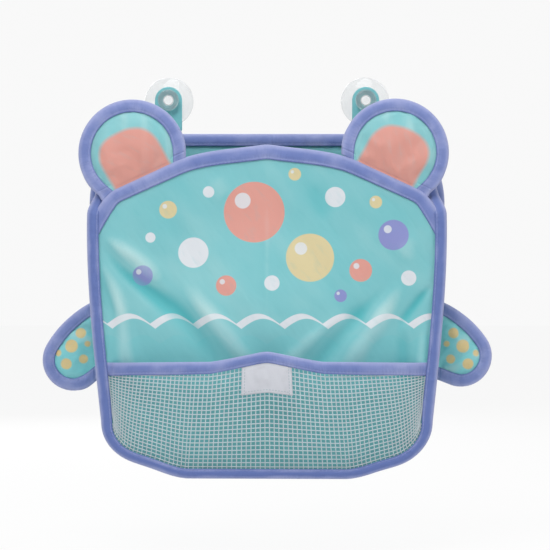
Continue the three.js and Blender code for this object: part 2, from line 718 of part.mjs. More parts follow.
bag.add(piece('mouth_binding', 'tape', binding(mouthTape, mouthSeam, mouthSeamMid)));
bag.add(piece('mesh_pocket', 'net', makeNet()));
bag.add(piece('pocket_binding', 'tape', makePocketBinding()));
bag.add(piece('care_label', 'label', makeLabel()));

bag.add(makeEar('left', -1, LEFT_EAR_ALONG), makeEar('right', 1, RIGHT_EAR_ALONG));
bag.add(makeArm('left', -1), makeArm('right', 1));

for (const [side, sign] of [['left', -1], ['right', 1]]) {
  const hanger = new THREE.Group();
  hanger.position.x = (sign * CUP_SPACING) / 2;
  const tab = piece(`${side}_cup_tab`, 'webbing', makeTab());
  tab.position.z = tabMid;
  hanger.add(tab, piece(`${side}_suction_cup`, 'clear', makeCup()));
  bag.add(hanger);
}

// Stand the drawing up: y becomes +Z, and z out from the wall becomes -Y
bag.rotation.x = Math.PI / 2;
const organizer = new THREE.Group();
organizer.add(bag);
export default organizer;
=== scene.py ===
"""Looks of a bath toy organizer: a bound cloth bag with a net pocket, padded ears and arms, and clear cups.

Pieces are drawn as a tailor sees them, x to the right, y up and z out from the wall, in metres. They are
stood up in the frame only when their mesh is made.
"""

import json
import math
from functools import partial

import bmesh
import bpy
import numpy as np
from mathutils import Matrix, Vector
from mathutils.geometry import delaunay_2d_cdt


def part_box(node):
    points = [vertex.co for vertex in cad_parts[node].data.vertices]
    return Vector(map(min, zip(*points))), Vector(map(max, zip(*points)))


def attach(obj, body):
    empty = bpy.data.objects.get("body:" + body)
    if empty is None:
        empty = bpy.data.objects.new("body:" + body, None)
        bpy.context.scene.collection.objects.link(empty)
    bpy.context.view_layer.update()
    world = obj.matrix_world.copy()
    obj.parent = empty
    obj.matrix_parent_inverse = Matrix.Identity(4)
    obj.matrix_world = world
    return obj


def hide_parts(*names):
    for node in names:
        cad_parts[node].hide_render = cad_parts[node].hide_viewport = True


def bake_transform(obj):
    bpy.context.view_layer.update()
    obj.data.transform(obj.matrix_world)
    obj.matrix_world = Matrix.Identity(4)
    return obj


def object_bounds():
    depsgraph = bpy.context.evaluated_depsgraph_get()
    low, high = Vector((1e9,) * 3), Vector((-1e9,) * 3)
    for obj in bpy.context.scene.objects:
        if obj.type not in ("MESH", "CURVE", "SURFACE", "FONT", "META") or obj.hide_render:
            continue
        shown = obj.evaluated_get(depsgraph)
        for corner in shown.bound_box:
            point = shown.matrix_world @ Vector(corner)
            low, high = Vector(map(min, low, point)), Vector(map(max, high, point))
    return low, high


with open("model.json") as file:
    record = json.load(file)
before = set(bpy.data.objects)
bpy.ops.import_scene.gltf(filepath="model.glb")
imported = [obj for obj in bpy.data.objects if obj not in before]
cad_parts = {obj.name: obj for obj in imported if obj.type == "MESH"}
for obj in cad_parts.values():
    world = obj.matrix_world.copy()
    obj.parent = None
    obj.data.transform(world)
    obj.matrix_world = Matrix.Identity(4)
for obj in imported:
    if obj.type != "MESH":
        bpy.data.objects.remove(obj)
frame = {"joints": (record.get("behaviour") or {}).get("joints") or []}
cad_low, cad_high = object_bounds()
joints = {joint["name"]: joint for joint in frame["joints"]}

bl_info = {
    "name": "Bath Toy Organizer",
    "version": (1, 0, 0),
    "blender": (4, 5, 0),
    "location": "View3D > Sidebar > Organizer",
    "description": "Dresses the packed organizer with cloth, tape, net, padding and clear cups",
    "category": "Object",
}

MM = 0.001
SIDES = {"left": -1, "right": 1}
CLEARANCE = 0.3 * MM
PANEL_CLOTH = 1.2 * MM
GUSSET_CLOTH = 0.8 * MM
NET_CLOTH = 0.8 * MM
LABEL_CLOTH = 0.6 * MM
PAD_CLOTH = 0.8 * MM
TAPE_CLOTH = 0.8 * MM
TAPE_STEP = 2.5 * MM
STITCH_INSET = 1.7 * MM
EDGE_STEP = 1 * MM
FINE_STEP = 0.5 * MM


def middle_depth(node):
    """Depth of the middle of a frame node."""
    low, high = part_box(node)
    return -(low.y + high.y) / 2


def wall_depths(node):
    """Depths of the middle of a wall's cloth at its front and back flanges."""
    low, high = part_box(node)
    return -low.y - GUSSET_CLOTH / 2, -high.y + GUSSET_CLOTH / 2


# Sizes and colours that a user may change


def length(name, default, description):
    return bpy.props.FloatProperty(
        name=name, description=description, default=default, unit="LENGTH", precision=4
    )


def share(name, default, description):
    return bpy.props.FloatProperty(name=name, description=description, default=default, subtype="FACTOR")


def colour(name, default, description):
    return bpy.props.FloatVectorProperty(
        name=name, description=description, default=default, size=3, subtype="COLOR", min=0, max=1
    )


class OrganizerSizes(bpy.types.PropertyGroup):
    """Sizes of the sewn pieces."""

    half_width: length("Half width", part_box("mouth_binding")[1].x, "Half the front's width at its shoulders")
    side_taper: length("Side taper", 10.5 * MM, "How far each side draws in towards the bottom")
    side_height: length("Side height", 174 * MM, "Height of the straight sides")
    corner_width: length("Corner width", 68 * MM, "Width of an oval bottom corner")
    corner_height: length("Corner height", 45 * MM, "Height of an oval bottom corner")
    crown: length("Crown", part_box("mouth_binding")[1].z, "Height of the mouth's crown above the cup axes")
    mouth_rise: length("Mouth rise", 42.5 * MM, "Rise of the mouth from its shoulders to its crown")
    knee: length("Knee", 50 * MM, "Half width where the mouth's flanks would meet its crown")
    knee_run: length("Knee run", 22 * MM, "How far the knee is rounded along the flank")
    side_reveal: length("Side reveal", 2.5 * MM, "How far the back shows outside the front at the sides")
    side_bow: length("Side bow", 3.4 * MM, "How far the filled front bows outwards at its sides")
    bottom_reveal: length("Bottom reveal", 4 * MM, "How far the back shows below the front")
    back_top: length("Back top", 104 * MM, "Half of the back's straight top edge")
    belly: length("Belly", 12 * MM, "Swell of the front panel")
    fold: length("Fold", 2.4 * MM, "Height of the soft folds in the front panel")
    tape_width: length("Tape width", 10 * MM, "Width of the folded binding tape")
    stitch: length("Stitch", 3 * MM, "Pitch of the stitches")
    pocket_height: length("Pocket height", 92 * MM, "Height of the net pocket")
    pocket_peak: length("Pocket peak", 5 * MM, "Rise of the pocket's top edge, before its crease")
    pocket_swell: length("Pocket swell", 38 * MM, "How far the net stands out at its top")
    droop: length("Droop", 22 * MM, "How far from each side the mouth bends down to its shoulder")
    crease: length("Crease", 3 * MM, "Peak that the middle crease leaves in the mouth")
    pocket_crease: length("Pocket crease", 8.4 * MM, "Peak that the middle crease leaves in the pocket")
    net_pitch: length("Net pitch", 3.3 * MM, "Width of one mesh of the net")
    net_strand: length("Net strand", 0.85 * MM, "Thickness of a strand of the net")
    label_width: length("Label width", 38 * MM, "Width of the blank label")
    label_height: length("Label height", 20 * MM, "Height of the blank label")
    ear_radius: length("Ear radius", 42.5 * MM, "Radius of a round ear")
    left_ear_rise: length("Left ear rise", 19 * MM, "Height of the left ear's centre above its seam")
    right_ear_rise: length("Right ear rise", 17.5 * MM, "Height of the right ear's centre above its seam")
    ear_crown: length("Ear crown", 3.6 * MM, "Padding of an ear on each face")
    arm_radius: length("Arm radius", 25 * MM, "Radius of an arm's round end")
    arm_reach: length("Arm reach", 19.5 * MM, "Distance of the round end's centre from the seam")
    left_arm_sag: length("Left arm sag", 9.3 * MM, "Drop of the left arm's round end below its seam")
    right_arm_sag: length("Right arm sag", 6 * MM, "Drop of the right arm's round end below its seam")
    arm_top: length("Arm top", 37.5 * MM, "Upper end of an arm's seam, from its middle")
    arm_bottom: length("Arm bottom", 26 * MM, "Lower end of an arm's seam, from its middle")
    arm_crown: length("Arm crown", 3 * MM, "Padding of an arm on each face")
    fill: share("Fill", 0.55, "How tightly the ears and arms are padded")


class OrganizerColours(bpy.types.PropertyGroup):
    """Colours of the cloths, tape, net and print."""

    aqua: colour("Aqua", (0.195, 0.53, 0.565), "Satin of the panels")
    aqua_light: colour("Light aqua", (0.38, 0.645, 0.65), "Satin on its ridges, where it catches the light")
    # Deep aqua is the satin's darker nap, and painted shade in its folds and creases
    aqua_deep: colour("Deep aqua", (0.075, 0.45, 0.49), "Satin in its folds")
    water: colour("Water", (0.175, 0.53, 0.565), "Water of the print")
    ear_aqua: colour("Ear aqua", (0.225, 0.54, 0.57), "Satin of the ears")
    # Arm aqua is more saturated than the panels' satin, and painted paler as painted light against the shadow
    # that the bag casts on the arms
    arm_aqua: colour("Arm aqua", (0.2, 0.62, 0.655), "Satin of the arms")
    coral: colour("Coral", (0.715, 0.3, 0.245), "Coral of the print")
    cream: colour("Cream", (0.69, 0.575, 0.31), "Cream of the print")
    sand: colour("Sand", (0.78, 0.545, 0.2), "Dots of the arms")
    white: colour("White", (0.72, 0.74, 0.78), "White of the print")
    violet: colour("Violet", (0.24, 0.25, 0.56), "Violet of the print")
    tape: colour("Tape", (0.19, 0.245, 0.53), "Binding tape")
    # Light tape is the tape's paler mottling, and painted highlight at its fold, along its stitches and on the
    # tapes of the ears and arms
    tape_light: colour("Light tape", (0.33, 0.37, 0.63), "Binding tape where it is rubbed and raised")
    # Deep tape is the tape's darker mottling, and painted shade in its valley, its puckers and its deeper
    # places, with a painted shadow along its open edge
    tape_deep: colour("Deep tape", (0.105, 0.16, 0.42), "Binding tape in its creases")
    thread: colour("Thread", (0.26, 0.31, 0.6), "Sewing thread")
    net: colour("Net", (0.7, 0.84, 0.87), "Strands of the net")
    label: colour("Label", (0.7, 0.715, 0.775), "Blank label")
    label_thread: colour("Label thread", (0.4, 0.52, 0.57), "Thread of the blank label")
    webbing: colour("Webbing", (0.21, 0.55, 0.6), "Webbing of the cup tabs")
    vinyl: colour("Vinyl", (0.93, 0.95, 0.96), "Clear vinyl of the cups")
    floor: colour("Floor", (0.8, 0.8, 0.8), "Pale floor")


# Shader sums in plain Python


def sum_of(operation, swapped=False):
    """Operator of a Value that adds a Math node for two terms."""

    def method(self, other):
        return self.math(operation, *((other, self) if swapped else (self, other)))

    return method


class Value:
    """A shader socket that takes part in sums: each operator adds a Math node to its tree."""

    def __init__(self, shading, socket):
        self.shading = shading
        self.socket = socket

    def math(self, operation, *terms, clamp=False):
        terms = dict(enumerate(terms))
        return self.shading.add("ShaderNodeMath", terms, operation=operation, use_clamp=clamp)

    __add__ = sum_of("ADD")
    __radd__ = sum_of("ADD", swapped=True)
    __sub__ = sum_of("SUBTRACT")
    __rsub__ = sum_of("SUBTRACT", swapped=True)
    __mul__ = sum_of("MULTIPLY")
    at_least = sum_of("MAXIMUM")
    power = sum_of("POWER")

    def root(self):
        return self.math("SQRT", self)

    def size(self):
        return self.math("ABSOLUTE", self)

    def clamped(self):
        return self.math("ADD", self, 0.0, clamp=True)

    def wave(self, pitch):
        """Sine from -1 to 1 that repeats at a pitch."""
        return self.math("SINE", self * (2 * math.pi / pitch))

    def mask(self, low, high, strength):
        """0 up to low and the whole strength from high on."""
        return ((self - low) * (1 / (high - low))).clamped() * strength

    def stripe(self, middle, slope):
        """1 at the middle of a stripe, less by the slope to each side."""
        return (1.0 - (self - middle).size() * slope).clamped()

    def inside(self, soft):
        """1 well inside an edge and 0 outside it, where the value is the distance into it."""
        return (self * (1 / soft) + 0.5).clamped()


class Shading:
    """A node tree that is filled by expressions."""

    def __init__(self, tree):
        self.tree = tree

    def add(self, kind, sockets=None, out=0, **settings):
        """Adds a node: its settings, then the values or links of its sockets. Gives the named output."""
        node = self.tree.nodes.new(kind)
        for key, setting in settings.items():
            setattr(node, key, setting)
        for key, value in (sockets or {}).items():
            self.feed(node.inputs[key], value)
        if isinstance(out, tuple):
            return [Value(self, node.outputs[name]) for name in out]
        return Value(self, node.outputs[out])

    def feed(self, socket, value):
        if isinstance(value, Value):
            self.tree.links.new(value.socket, socket)
        elif socket.type == "RGBA":
            socket.default_value = (*tuple(value)[:3], 1.0)
        else:
            socket.default_value = value

    def pattern(self):
        """Pattern coordinates of the surface in millimetres: across, up, and the piece's own third value."""
        place = self.add("ShaderNodeAttribute", out="Vector", attribute_name="pattern")
        parts = self.add("ShaderNodeSeparateXYZ", {0: place}, ("X", "Y", "Z"))
        return [part * (1 / MM) for part in parts]

    def noise(self, x, y, size, detail=2.0, z=0.0):
        """Soft noise from 0 to 1 with features of that size in millimetres."""
        place = self.add("ShaderNodeCombineXYZ", {"X": x, "Y": y, "Z": z})
        return self.add("ShaderNodeTexNoise", {"Vector": place, "Scale": 1 / size, "Detail": detail})

    def mix(self, first, second, factor):
        """The first colour where the factor is 0, and the second where it is 1."""
        return self.add("ShaderNodeMix", {0: factor, 6: first, 7: second}, 2, data_type="RGBA")

    def tint(self, shade, colour_value, value, low, high, strength):
        """The shade, with a colour laid over it from where a value is low to where it is high."""
        return self.mix(shade, colour_value, value.mask(low, high, strength))

    def weave(self, x, y, pitch):
        """Threads that pass over and under each other, from -1 to 1."""
        return x.wave(pitch) * y.wave(pitch)

    def bump(self, height, depth):
        """Normal of a surface that rises by that depth in millimetres where the height is 1."""
        return self.add("ShaderNodeBump", {"Height": height, "Distance": depth * MM}, "Normal")


def finish(name, paint, *terms, **constants):
    """A material whose varying inputs come from paint and its terms, with its other sockets set directly."""
    material = bpy.data.materials.new(name)
    material.use_nodes = True
    shader = material.node_tree.nodes["Principled BSDF"]
    for key, value in constants.items():
        shader.inputs[key.replace("_", " ")].default_value = value
    shading = Shading(material.node_tree)
    for key, value in paint(shading, *terms).items():
        shading.feed(shader.inputs[key], value)
    return material


# Finishes

# Least roughness of each finish, and how much more its wear adds
ROUGHNESS = {
    "satin": (0.36, 0.16),
    "tape": (0.55, 0.15),
    "net": (0.5, 0.2),
    "woven": (0.62, 0.2),
    "thread": (0.5, 0.08),
    "vinyl": (0.06, 0.1),
}
SATIN_SHEEN = 0.15
TAPE_SHEEN = 0.3
# Pitches and sizes of patterns, in millimetres
WEAVE_PITCH = 0.7
TAPE_RIB = 1.1
NET_TWIST = 1.4
THREAD_PLY = 0.6
SATIN_NAP = 46
SATIN_CREASE = 9
WOVEN_WEAR = 11
NET_WEAR = 12
VINYL_HAZE = 6
# Tones of the satin: the value where each starts, where it is full, and its strength there. The nap's tones
# are its own; the ridges' tones are painted highlight, and the valleys' and creases' are painted shade
NAP_DEEP = (0.5, 0.2, 0.4)
NAP_LIGHT = (0.52, 0.8, 0.4)
RIDGE = (0.1, 1.0, 0.8)
VALLEY = (-0.1, -1.0, 0.9)
PRINT_RIDGE = (0.2, 1.0, 0.25)
PRINT_VALLEY = (-0.2, -1.0, 0.42)
CREASE_SHADE = (0.46, 0.3, 0.1)
THREAD_SHADE = 0.04
SHINE = (0.66, 0.81, 0.82)
SHADE = (0.05, 0.44, 0.48)
# Lean and squeeze of the satin's nap and creases, and the height of its bumps
NAP_LEAN = 0.6
NAP_SQUEEZE = 0.8
CREASE_LEAN = 1.6
CREASE_SQUEEZE = 0.7
CREASE_DETAIL = 4.0
THREAD_BUMP = 0.12
CREASE_BUMP = 0.9
SATIN_BUMP = 0.35


def roughness(kind, wear):
    least, more = ROUGHNESS[kind]
    return least + wear * more


def dimmed(colour_value, share_left):
    """A darker colour."""
    return [part * share_left for part in colour_value]


def satin(shading, tones, printed=None, gloss=1.0):
    """Satin: soft nap, fine weave and faint creases, painted highlight on its ridges, painted shade in its
    valleys and creases, with an optional print.
    """
    ground, light, deep = tones
    x, y, fold = shading.pattern()
    nap = shading.noise(x + y * NAP_LEAN, y * NAP_SQUEEZE, SATIN_NAP)
    shade = shading.tint(ground, deep, nap, *NAP_DEEP)
    shade = shading.tint(shade, light, nap, *NAP_LIGHT)
    # painted highlight on the ridges of the folds and painted shade in their valleys
    shade = shading.tint(shade, light, fold, *RIDGE)
    shade = shading.tint(shade, deep, fold, *VALLEY)
    if printed:
        shade = printed(shading, x, y, shade)
        # the same painted highlight and painted shade of the folds over the print, weaker by the gloss
        for tone, (low, high, strength) in ((SHINE, PRINT_RIDGE), (SHADE, PRINT_VALLEY)):
            shade = shading.tint(shade, tone, fold, low, high, strength * gloss)
    threads = shading.weave(x, y, WEAVE_PITCH)
    creases = shading.noise(x * CREASE_LEAN + y, y * CREASE_SQUEEZE, SATIN_CREASE, CREASE_DETAIL)
    # darker by the weave of the threads, and painted shade in the hollows of the creases
    wear = threads * THREAD_SHADE + THREAD_SHADE + creases.mask(*CREASE_SHADE)
    return {
        "Base Color": shading.mix(shade, deep, wear),
        "Roughness": roughness("satin", creases),
        "Normal": shading.bump(threads * THREAD_BUMP + creases * CREASE_BUMP, SATIN_BUMP),
    }


# Width of the print's soft edges, in millimetres
PRINT_SOFT = 0.5


def disc(x, y, centre, radius, soft=PRINT_SOFT):
    """Mask of a round printed spot."""
    across = x - centre[0]
    up = y - centre[1]
    return (radius - (across * across + up * up).root()).inside(soft)


def scallops(x, y, level, rise, run):
    """Mask of everything below a row of round scallops."""
    crest = x.wave(2 * run).size() * rise + level
    return (crest - y).inside(PRINT_SOFT)


# Printed bath water, in millimetres: scalloped waves and bubbles of several sizes
WAVES = (
    (-180, 8, 34, "white"),
    (-184, 8, 34, "aqua"),
    (-196, 7, 28, "water"),
)
BUBBLES = (
    (-10, -92, 24, "coral"),
    (34, -128, 19, "cream"),
    (-58, -124, 12, "white"),
    (-32, -150, 8, "coral"),
    (74, -138, 9, "coral"),
    (54, -80, 8, "white"),
    (-78, -90, 7, "cream"),
    (4, -148, 6, "white"),
    (100, -110, 12, "violet"),
    (-98, -142, 8, "violet"),
    (86, -84, 5, "cream"),
    (-92, -112, 4, "white"),
    (58, -158, 5, "violet"),
    (-46, -76, 4.5, "white"),
    (22, -62, 5, "cream"),
    (112, -144, 6, "white"),
)
GLINT_SHIFT = 0.38
GLINT_RADIUS = 0.26
GLINT_STRENGTH = 0.85


def bath_print(colours, shading, x, y, shade):
    """Print of bubbles over scalloped bath water."""
    for level, rise, run, name in WAVES:
        shade = shading.mix(shade, getattr(colours, name), scallops(x + level, y, level, rise, run))
    for across, up, radius, name in BUBBLES:
        shade = shading.mix(shade, getattr(colours, name), disc(x, y, (across, up), radius))
        shift = radius * GLINT_SHIFT
        glint = disc(x, y, (across - shift, up + shift), radius * GLINT_RADIUS)
        shade = shading.mix(shade, colours.white, glint * GLINT_STRENGTH)
    return shade


EAR_PATCH_CENTRE = 13.5
EAR_PATCH_RADIUS = 24.0
EAR_PATCH_LEAN = 0.08
EAR_PATCH_SHIFT = 1.2
EAR_PATCH_FULLNESS = 2.6
EAR_PATCH_SOFT = 3.125


def ear_print(colours, sign, shading, x, y, shade):
    """Coral inside of an ear: a full arch on straight sides that leans outwards, with soft edges."""
    rise = y - EAR_PATCH_CENTRE
    middle = rise * (sign * EAR_PATCH_LEAN) + sign * EAR_PATCH_SHIFT
    across = (x - middle).size().power(EAR_PATCH_FULLNESS)
    above = rise.at_least(0.0).power(EAR_PATCH_FULLNESS)
    edge = EAR_PATCH_RADIUS - (across + above).power(1 / EAR_PATCH_FULLNESS)
    return shading.mix(shade, colours.coral, edge.inside(EAR_PATCH_SOFT))


ARM_DOTS = ((-12, 12, 4.2), (-2, 20, 5.2), (9, 11, 3.6), (12, 25, 4.4), (-3, 7, 2.4), (3, 31, 2.6))
DOT_SOFT = 1.0
DOT_STRENGTH = 0.9


def arm_print(colours, sign, shading, x, y, shade):
    """Scattered sand-coloured dots on an arm."""
    for along, out, radius in ARM_DOTS:
        dot = disc(x, y, (sign * along, out), radius, DOT_SOFT)
        shade = shading.mix(shade, colours.sand, dot * DOT_STRENGTH)
    return shade


# Noises of the tape: squeeze along and across it, size, detail and shift
TAPE_NOISES = {
    "mottle": (0.5, 1.2, 14, 3.0, 0.0),
    "shine": (1.0, 0.8, 30, 2.0, 3.0),
    "pucker": (2.2, 0.5, 5, 3.0, 7.0),
}
# Tones of the tape in turn: what each follows, where it starts and is full, its strength and its colour. The
# last, on the puckers, is painted shade in their dips
TAPE_TONES = (
    ("shine", 0.5, 0.68, 0.7, "tape_light"),
    ("shine", 0.5, 0.32, 0.55, "tape_deep"),
    ("mottle", 0.48, 0.72, 0.6, "tape_light"),
    ("mottle", 0.5, 0.25, 0.5, "tape_deep"),
    # painted shade in the dips of the puckers
    ("pucker", 0.5, 0.3, 0.25, "tape_deep"),
)
# The same across the tape, in millimetres in from its open edge: its fold, with painted highlight, and its
# rim, with painted shadow
TAPE_FOLD = (6.8, 9.2, 0.8)
TAPE_RIM = (0.9, 0.3, 0.75)
# Middle and slope of the stripes between the fold and the stitches, with painted shade, and along the
# stitches, with painted highlight
TAPE_VALLEY = (4.6, 0.3)
TAPE_SEWN = (1.5, 1.4)
TAPE_SEWN_STRENGTH = 0.4
# Least strength of the valley's painted shade, and how much more a deep tone adds
VALLEY_LEAST = 0.25
VALLEY_MORE = 0.6
TONE_SHARE = 0.55
RIB_BUMP = 0.06
TAPE_BUMP = 0.5


def bias_tape(shading, colours, tone):
    """Folded tape, paler or deeper by tone as painted light or painted shade: painted highlight at its fold
    and stitches, painted shade between, a painted shadow along its open edge, and mottled.
    """
    light, deep = colours.tape_light, colours.tape_deep
    # a tone above 0 lays painted shade over the whole tape, and one below 0 painted light
    towards = deep if tone > 0 else light
    shade = [own + (other - own) * abs(tone) * TONE_SHARE for own, other in zip(colours.tape, towards)]
    along, across, edge = shading.pattern()
    noises = {
        kind: shading.noise(along * first, across * second, size, detail, shift)
        for kind, (first, second, size, detail, shift) in TAPE_NOISES.items()
    }
    for kind, low, high, strength, name in TAPE_TONES:
        shade = shading.tint(shade, getattr(colours, name), noises[kind], low, high, strength)
    # painted shade in the valley between the fold and the stitches
    valley = edge.stripe(*TAPE_VALLEY) * (VALLEY_LEAST + VALLEY_MORE * max(tone, 0.0))
    shade = shading.mix(shade, deep, valley)
    # painted highlight at the fold and along the stitches
    shade = shading.tint(shade, light, edge, *TAPE_FOLD)
    shade = shading.mix(shade, light, edge.stripe(*TAPE_SEWN) * TAPE_SEWN_STRENGTH)
    rib = (along + across).wave(TAPE_RIB)
    return {
        # painted shadow along the tape's open edge
        "Base Color": shading.tint(shade, deep, edge, *TAPE_RIM),
        "Roughness": roughness("tape", noises["mottle"]),
        "Normal": shading.bump(noises["pucker"] + rib * RIB_BUMP, TAPE_BUMP),
    }


NET_LAY = 3.0
NET_WORN = (0.4, 0.75, 0.8)
NET_BUMP = 0.08


def strand(shading, colours):
    """Twisted strand of the net."""
    along, around, _ = shading.pattern()
    twist = (along + around * NET_LAY).wave(NET_TWIST)
    wear = shading.noise(along, around, NET_WEAR, 3.0)
    return {
        "Base Color": shading.tint(colours.net, colours.label, wear, *NET_WORN),
        "Roughness": roughness("net", wear),
        "Normal": shading.bump(twist, NET_BUMP),
    }


# Pitch of the threads and height of the weave, in millimetres
LABEL_WEAVE = (0.9, 0.12)
WEBBING_WEAVE = (1.6, 0.3)
WOVEN_SHADE = 0.2
WOVEN_WORN = (0.5, 0.3, 0.3)
# What is left of a colour in the shade of threads, plies and haze
WOVEN_DIM = 0.72
THREAD_DIM = 0.7
HAZE_DIM = 0.9
PLY_SHADE = 0.3


def woven(shading, colour_value, pitch, depth):
    """Plain woven cloth or webbing of one colour, with visible threads."""
    x, y, _ = shading.pattern()
    threads = shading.weave(x, y, pitch)
    wear = shading.noise(x, y, WOVEN_WEAR, 4.0)
    worn = threads * WOVEN_SHADE + WOVEN_SHADE + wear.mask(*WOVEN_WORN)
    return {
        "Base Color": shading.mix(colour_value, dimmed(colour_value, WOVEN_DIM), worn),
        "Roughness": roughness("woven", wear),
        "Normal": shading.bump(threads * 0.5 + wear * 0.5, depth),
    }


def spun(shading, colour_value):
    """Sewing thread."""
    along, around, _ = shading.pattern()
    ply = (along + around).wave(THREAD_PLY)
    worn = ply * PLY_SHADE + PLY_SHADE
    return {
        "Base Color": shading.mix(colour_value, dimmed(colour_value, THREAD_DIM), worn),
        "Roughness": roughness("thread", ply),
    }


def clear_vinyl(shading, colours):
    """Soft clear vinyl with faint moulding haze."""
    x, y, _ = shading.pattern()
    haze = shading.noise(x, y, VINYL_HAZE, 3.0)
    return {
        "Base Color": shading.mix(colours.vinyl, dimmed(colours.vinyl, HAZE_DIM), haze),
        "Roughness": roughness("vinyl", haze),
    }


# Lines, surfaces and meshes


def stood(points):
    """Pattern points stood up in the frame."""
    points = np.asarray(points, float)
    return np.stack([points[..., 0], -points[..., 2], points[..., 1]], axis=-1)


def raised(flat, depth):
    """Flat points with their depths."""
    depth = np.broadcast_to(depth, flat.shape[:-1])
    return np.concatenate([flat, depth[..., None]], axis=-1)


def make_piece(name, points, faces, finishes, pattern=None):
    """Mesh object from pattern points, which also carries its pattern coordinates for the finishes."""
    mesh = bpy.data.meshes.new(name)
    flat = np.asarray(points, float).reshape(-1, 3)
    mesh.from_pydata(stood(flat).tolist(), [], [list(map(int, face)) for face in faces])
    kept = flat if pattern is None else np.asarray(pattern, float).reshape(-1, 3)
    attribute = mesh.attributes.new("pattern", "FLOAT_VECTOR", "POINT")
    attribute.data.foreach_set("vector", kept.astype(np.float32).ravel())
    for material in finishes if isinstance(finishes, list) else [finishes]:
        mesh.materials.append(material)
    mesh.shade_smooth()
    piece = bpy.data.objects.new(name, mesh)
    bpy.context.scene.collection.objects.link(piece)
    return piece


def thicken(piece, thickness, lined=False):
    """Gives a sheet its thickness, half to each side, and its second finish behind if it is lined."""
    solid = piece.modifiers.new("cloth", "SOLIDIFY")
    solid.thickness = thickness
    solid.offset = 0
    solid.use_even_offset = True
    solid.material_offset = int(lined)


def grid_faces(columns, rows, ring=False, loop=False):
    """Quads of a grid stored column by column; ring closes each column, and loop joins last to first."""
    counts = (columns if loop else columns - 1, rows if ring else rows - 1)
    i, j = crossed(*map(np.arange, counts))
    right = (i + 1) % columns
    above = (j + 1) % rows
    corners = [i * rows + j, right * rows + j, right * rows + above, i * rows + above]
    return np.stack(corners, axis=-1).reshape(-1, 4)


def crossed(first, second):
    """Both values at each point of a grid of one value by another."""
    return np.meshgrid(first, second, indexing="ij")


def shares(grid):
    """How far across and up each point of a grid lies, from 0 to 1."""
    return crossed(*(np.linspace(0, 1, count) for count in grid.shape[:2]))


def full_turn(steps):
    """Even angles round a circle."""
    return np.linspace(0, 2 * math.pi, steps, endpoint=False)


def travelled(line):
    """Distance along a line at each of its points."""
    steps = np.linalg.norm(np.diff(line, axis=-2), axis=-1)
    return np.concatenate([np.zeros((*steps.shape[:-1], 1)), np.cumsum(steps, axis=-1)], axis=-1)


def sampled(line, stops, marks=None):
    """Points of a line at some stops along its marks, which run evenly from 0 to 1 unless given."""
    marks = np.linspace(0, 1, len(line)) if marks is None else marks
    return np.stack([np.interp(stops, marks, part) for part in line.T], axis=-1)


def spaced(line, step, closed=False):
    """The same line with its points an even step apart."""
    line = np.asarray(line, float)
    if closed:
        line = np.vstack([line, line[:1]])
    run = travelled(line)
    stops = np.linspace(0, run[-1], max(2, round(run[-1] / step)) + 1)
    return sampled(line, stops[:-1] if closed else stops, run)


def headings(line, closed=False):
    """Unit vectors along a line."""
    ahead = np.roll(line, -1, 0) - np.roll(line, 1, 0) if closed else np.gradient(line, axis=0)
    return ahead / np.linalg.norm(ahead, axis=1, keepdims=True)


def inward(line, closed=False):
    """Unit normals to the left of a flat line."""
    ahead = headings(line, closed)
    return np.stack([-ahead[:, 1], ahead[:, 0]], axis=1)


def drawn_in(line, distance, step=EDGE_STEP):
    """A flat line with even points, moved to its left."""
    even = spaced(line, step)
    return even + inward(even) * distance


def arc(centre, radii, start, end, steps=48):
    """Points of an oval arc."""
    turn = np.linspace(start, end, steps)
    return np.stack([centre[0] + radii[0] * np.cos(turn), centre[1] + radii[1] * np.sin(turn)], axis=1)


def bend(start, control, end, steps=40):
    """Points of a curve that leaves start and reaches end along the lines to its control point."""
    t = np.linspace(0, 1, steps)[:, None]
    return (1 - t) ** 2 * np.array(start) + 2 * t * (1 - t) * np.array(control) + t**2 * np.array(end)


def smooth(value):
    """Rise from 0 to 1 with level ends."""
    value = np.clip(value, 0, 1)
    return value * value * (3 - 2 * value)


def ease(value):
    """Rise from 0 to 1 that starts steep and ends level."""
    return 1 - (1 - np.clip(value, 0, 1)) ** 2


def ripple(first, second, sizes, seed):
    """Irregular ripples from about -1 to 1, of the given wavelengths, the same on each run."""
    dice = np.random.default_rng(seed)
    total = 0.0
    for size in sizes:
        lean, phase = dice.uniform(-0.8, 0.8), dice.uniform(0, 2 * math.pi)
        total = total + np.sin(2 * math.pi * (first + lean * second) / size + phase)
    return total / len(sizes) ** 0.5


def distance_to(line, spots):
    """Least distance from each spot to a line of points."""
    start, span = line[:-1], np.diff(line, axis=0)
    offset = spots[:, None, :] - start[None]
    along = np.clip((offset * span).sum(-1) / (span * span).sum(-1), 0, 1)
    return np.linalg.norm(offset - along[..., None] * span, axis=-1).min(axis=1)


class Seam:
    """A folded tape over layers of cloth: the room in its fold, its half thickness and the cloth's inset."""

    def __init__(self, cloth, layers):
        self.room = cloth + (layers + 1) * CLEARANCE
        self.half = self.room / 2 + TAPE_CLOTH
        self.inset = self.half + CLEARANCE


BACK_SEAM = Seam(PANEL_CLOTH + GUSSET_CLOTH, 2)
FRONT_SEAM = Seam(GUSSET_CLOTH + PANEL_CLOTH + NET_CLOTH, 3)
MOUTH_SEAM = Seam(PANEL_CLOTH, 1)
POCKET_SEAM = Seam(NET_CLOTH, 1)
PAD_SEAM = Seam(2 * PAD_CLOTH + CLEARANCE, 1)
RIM_SEAM = Seam(GUSSET_CLOTH, 1)

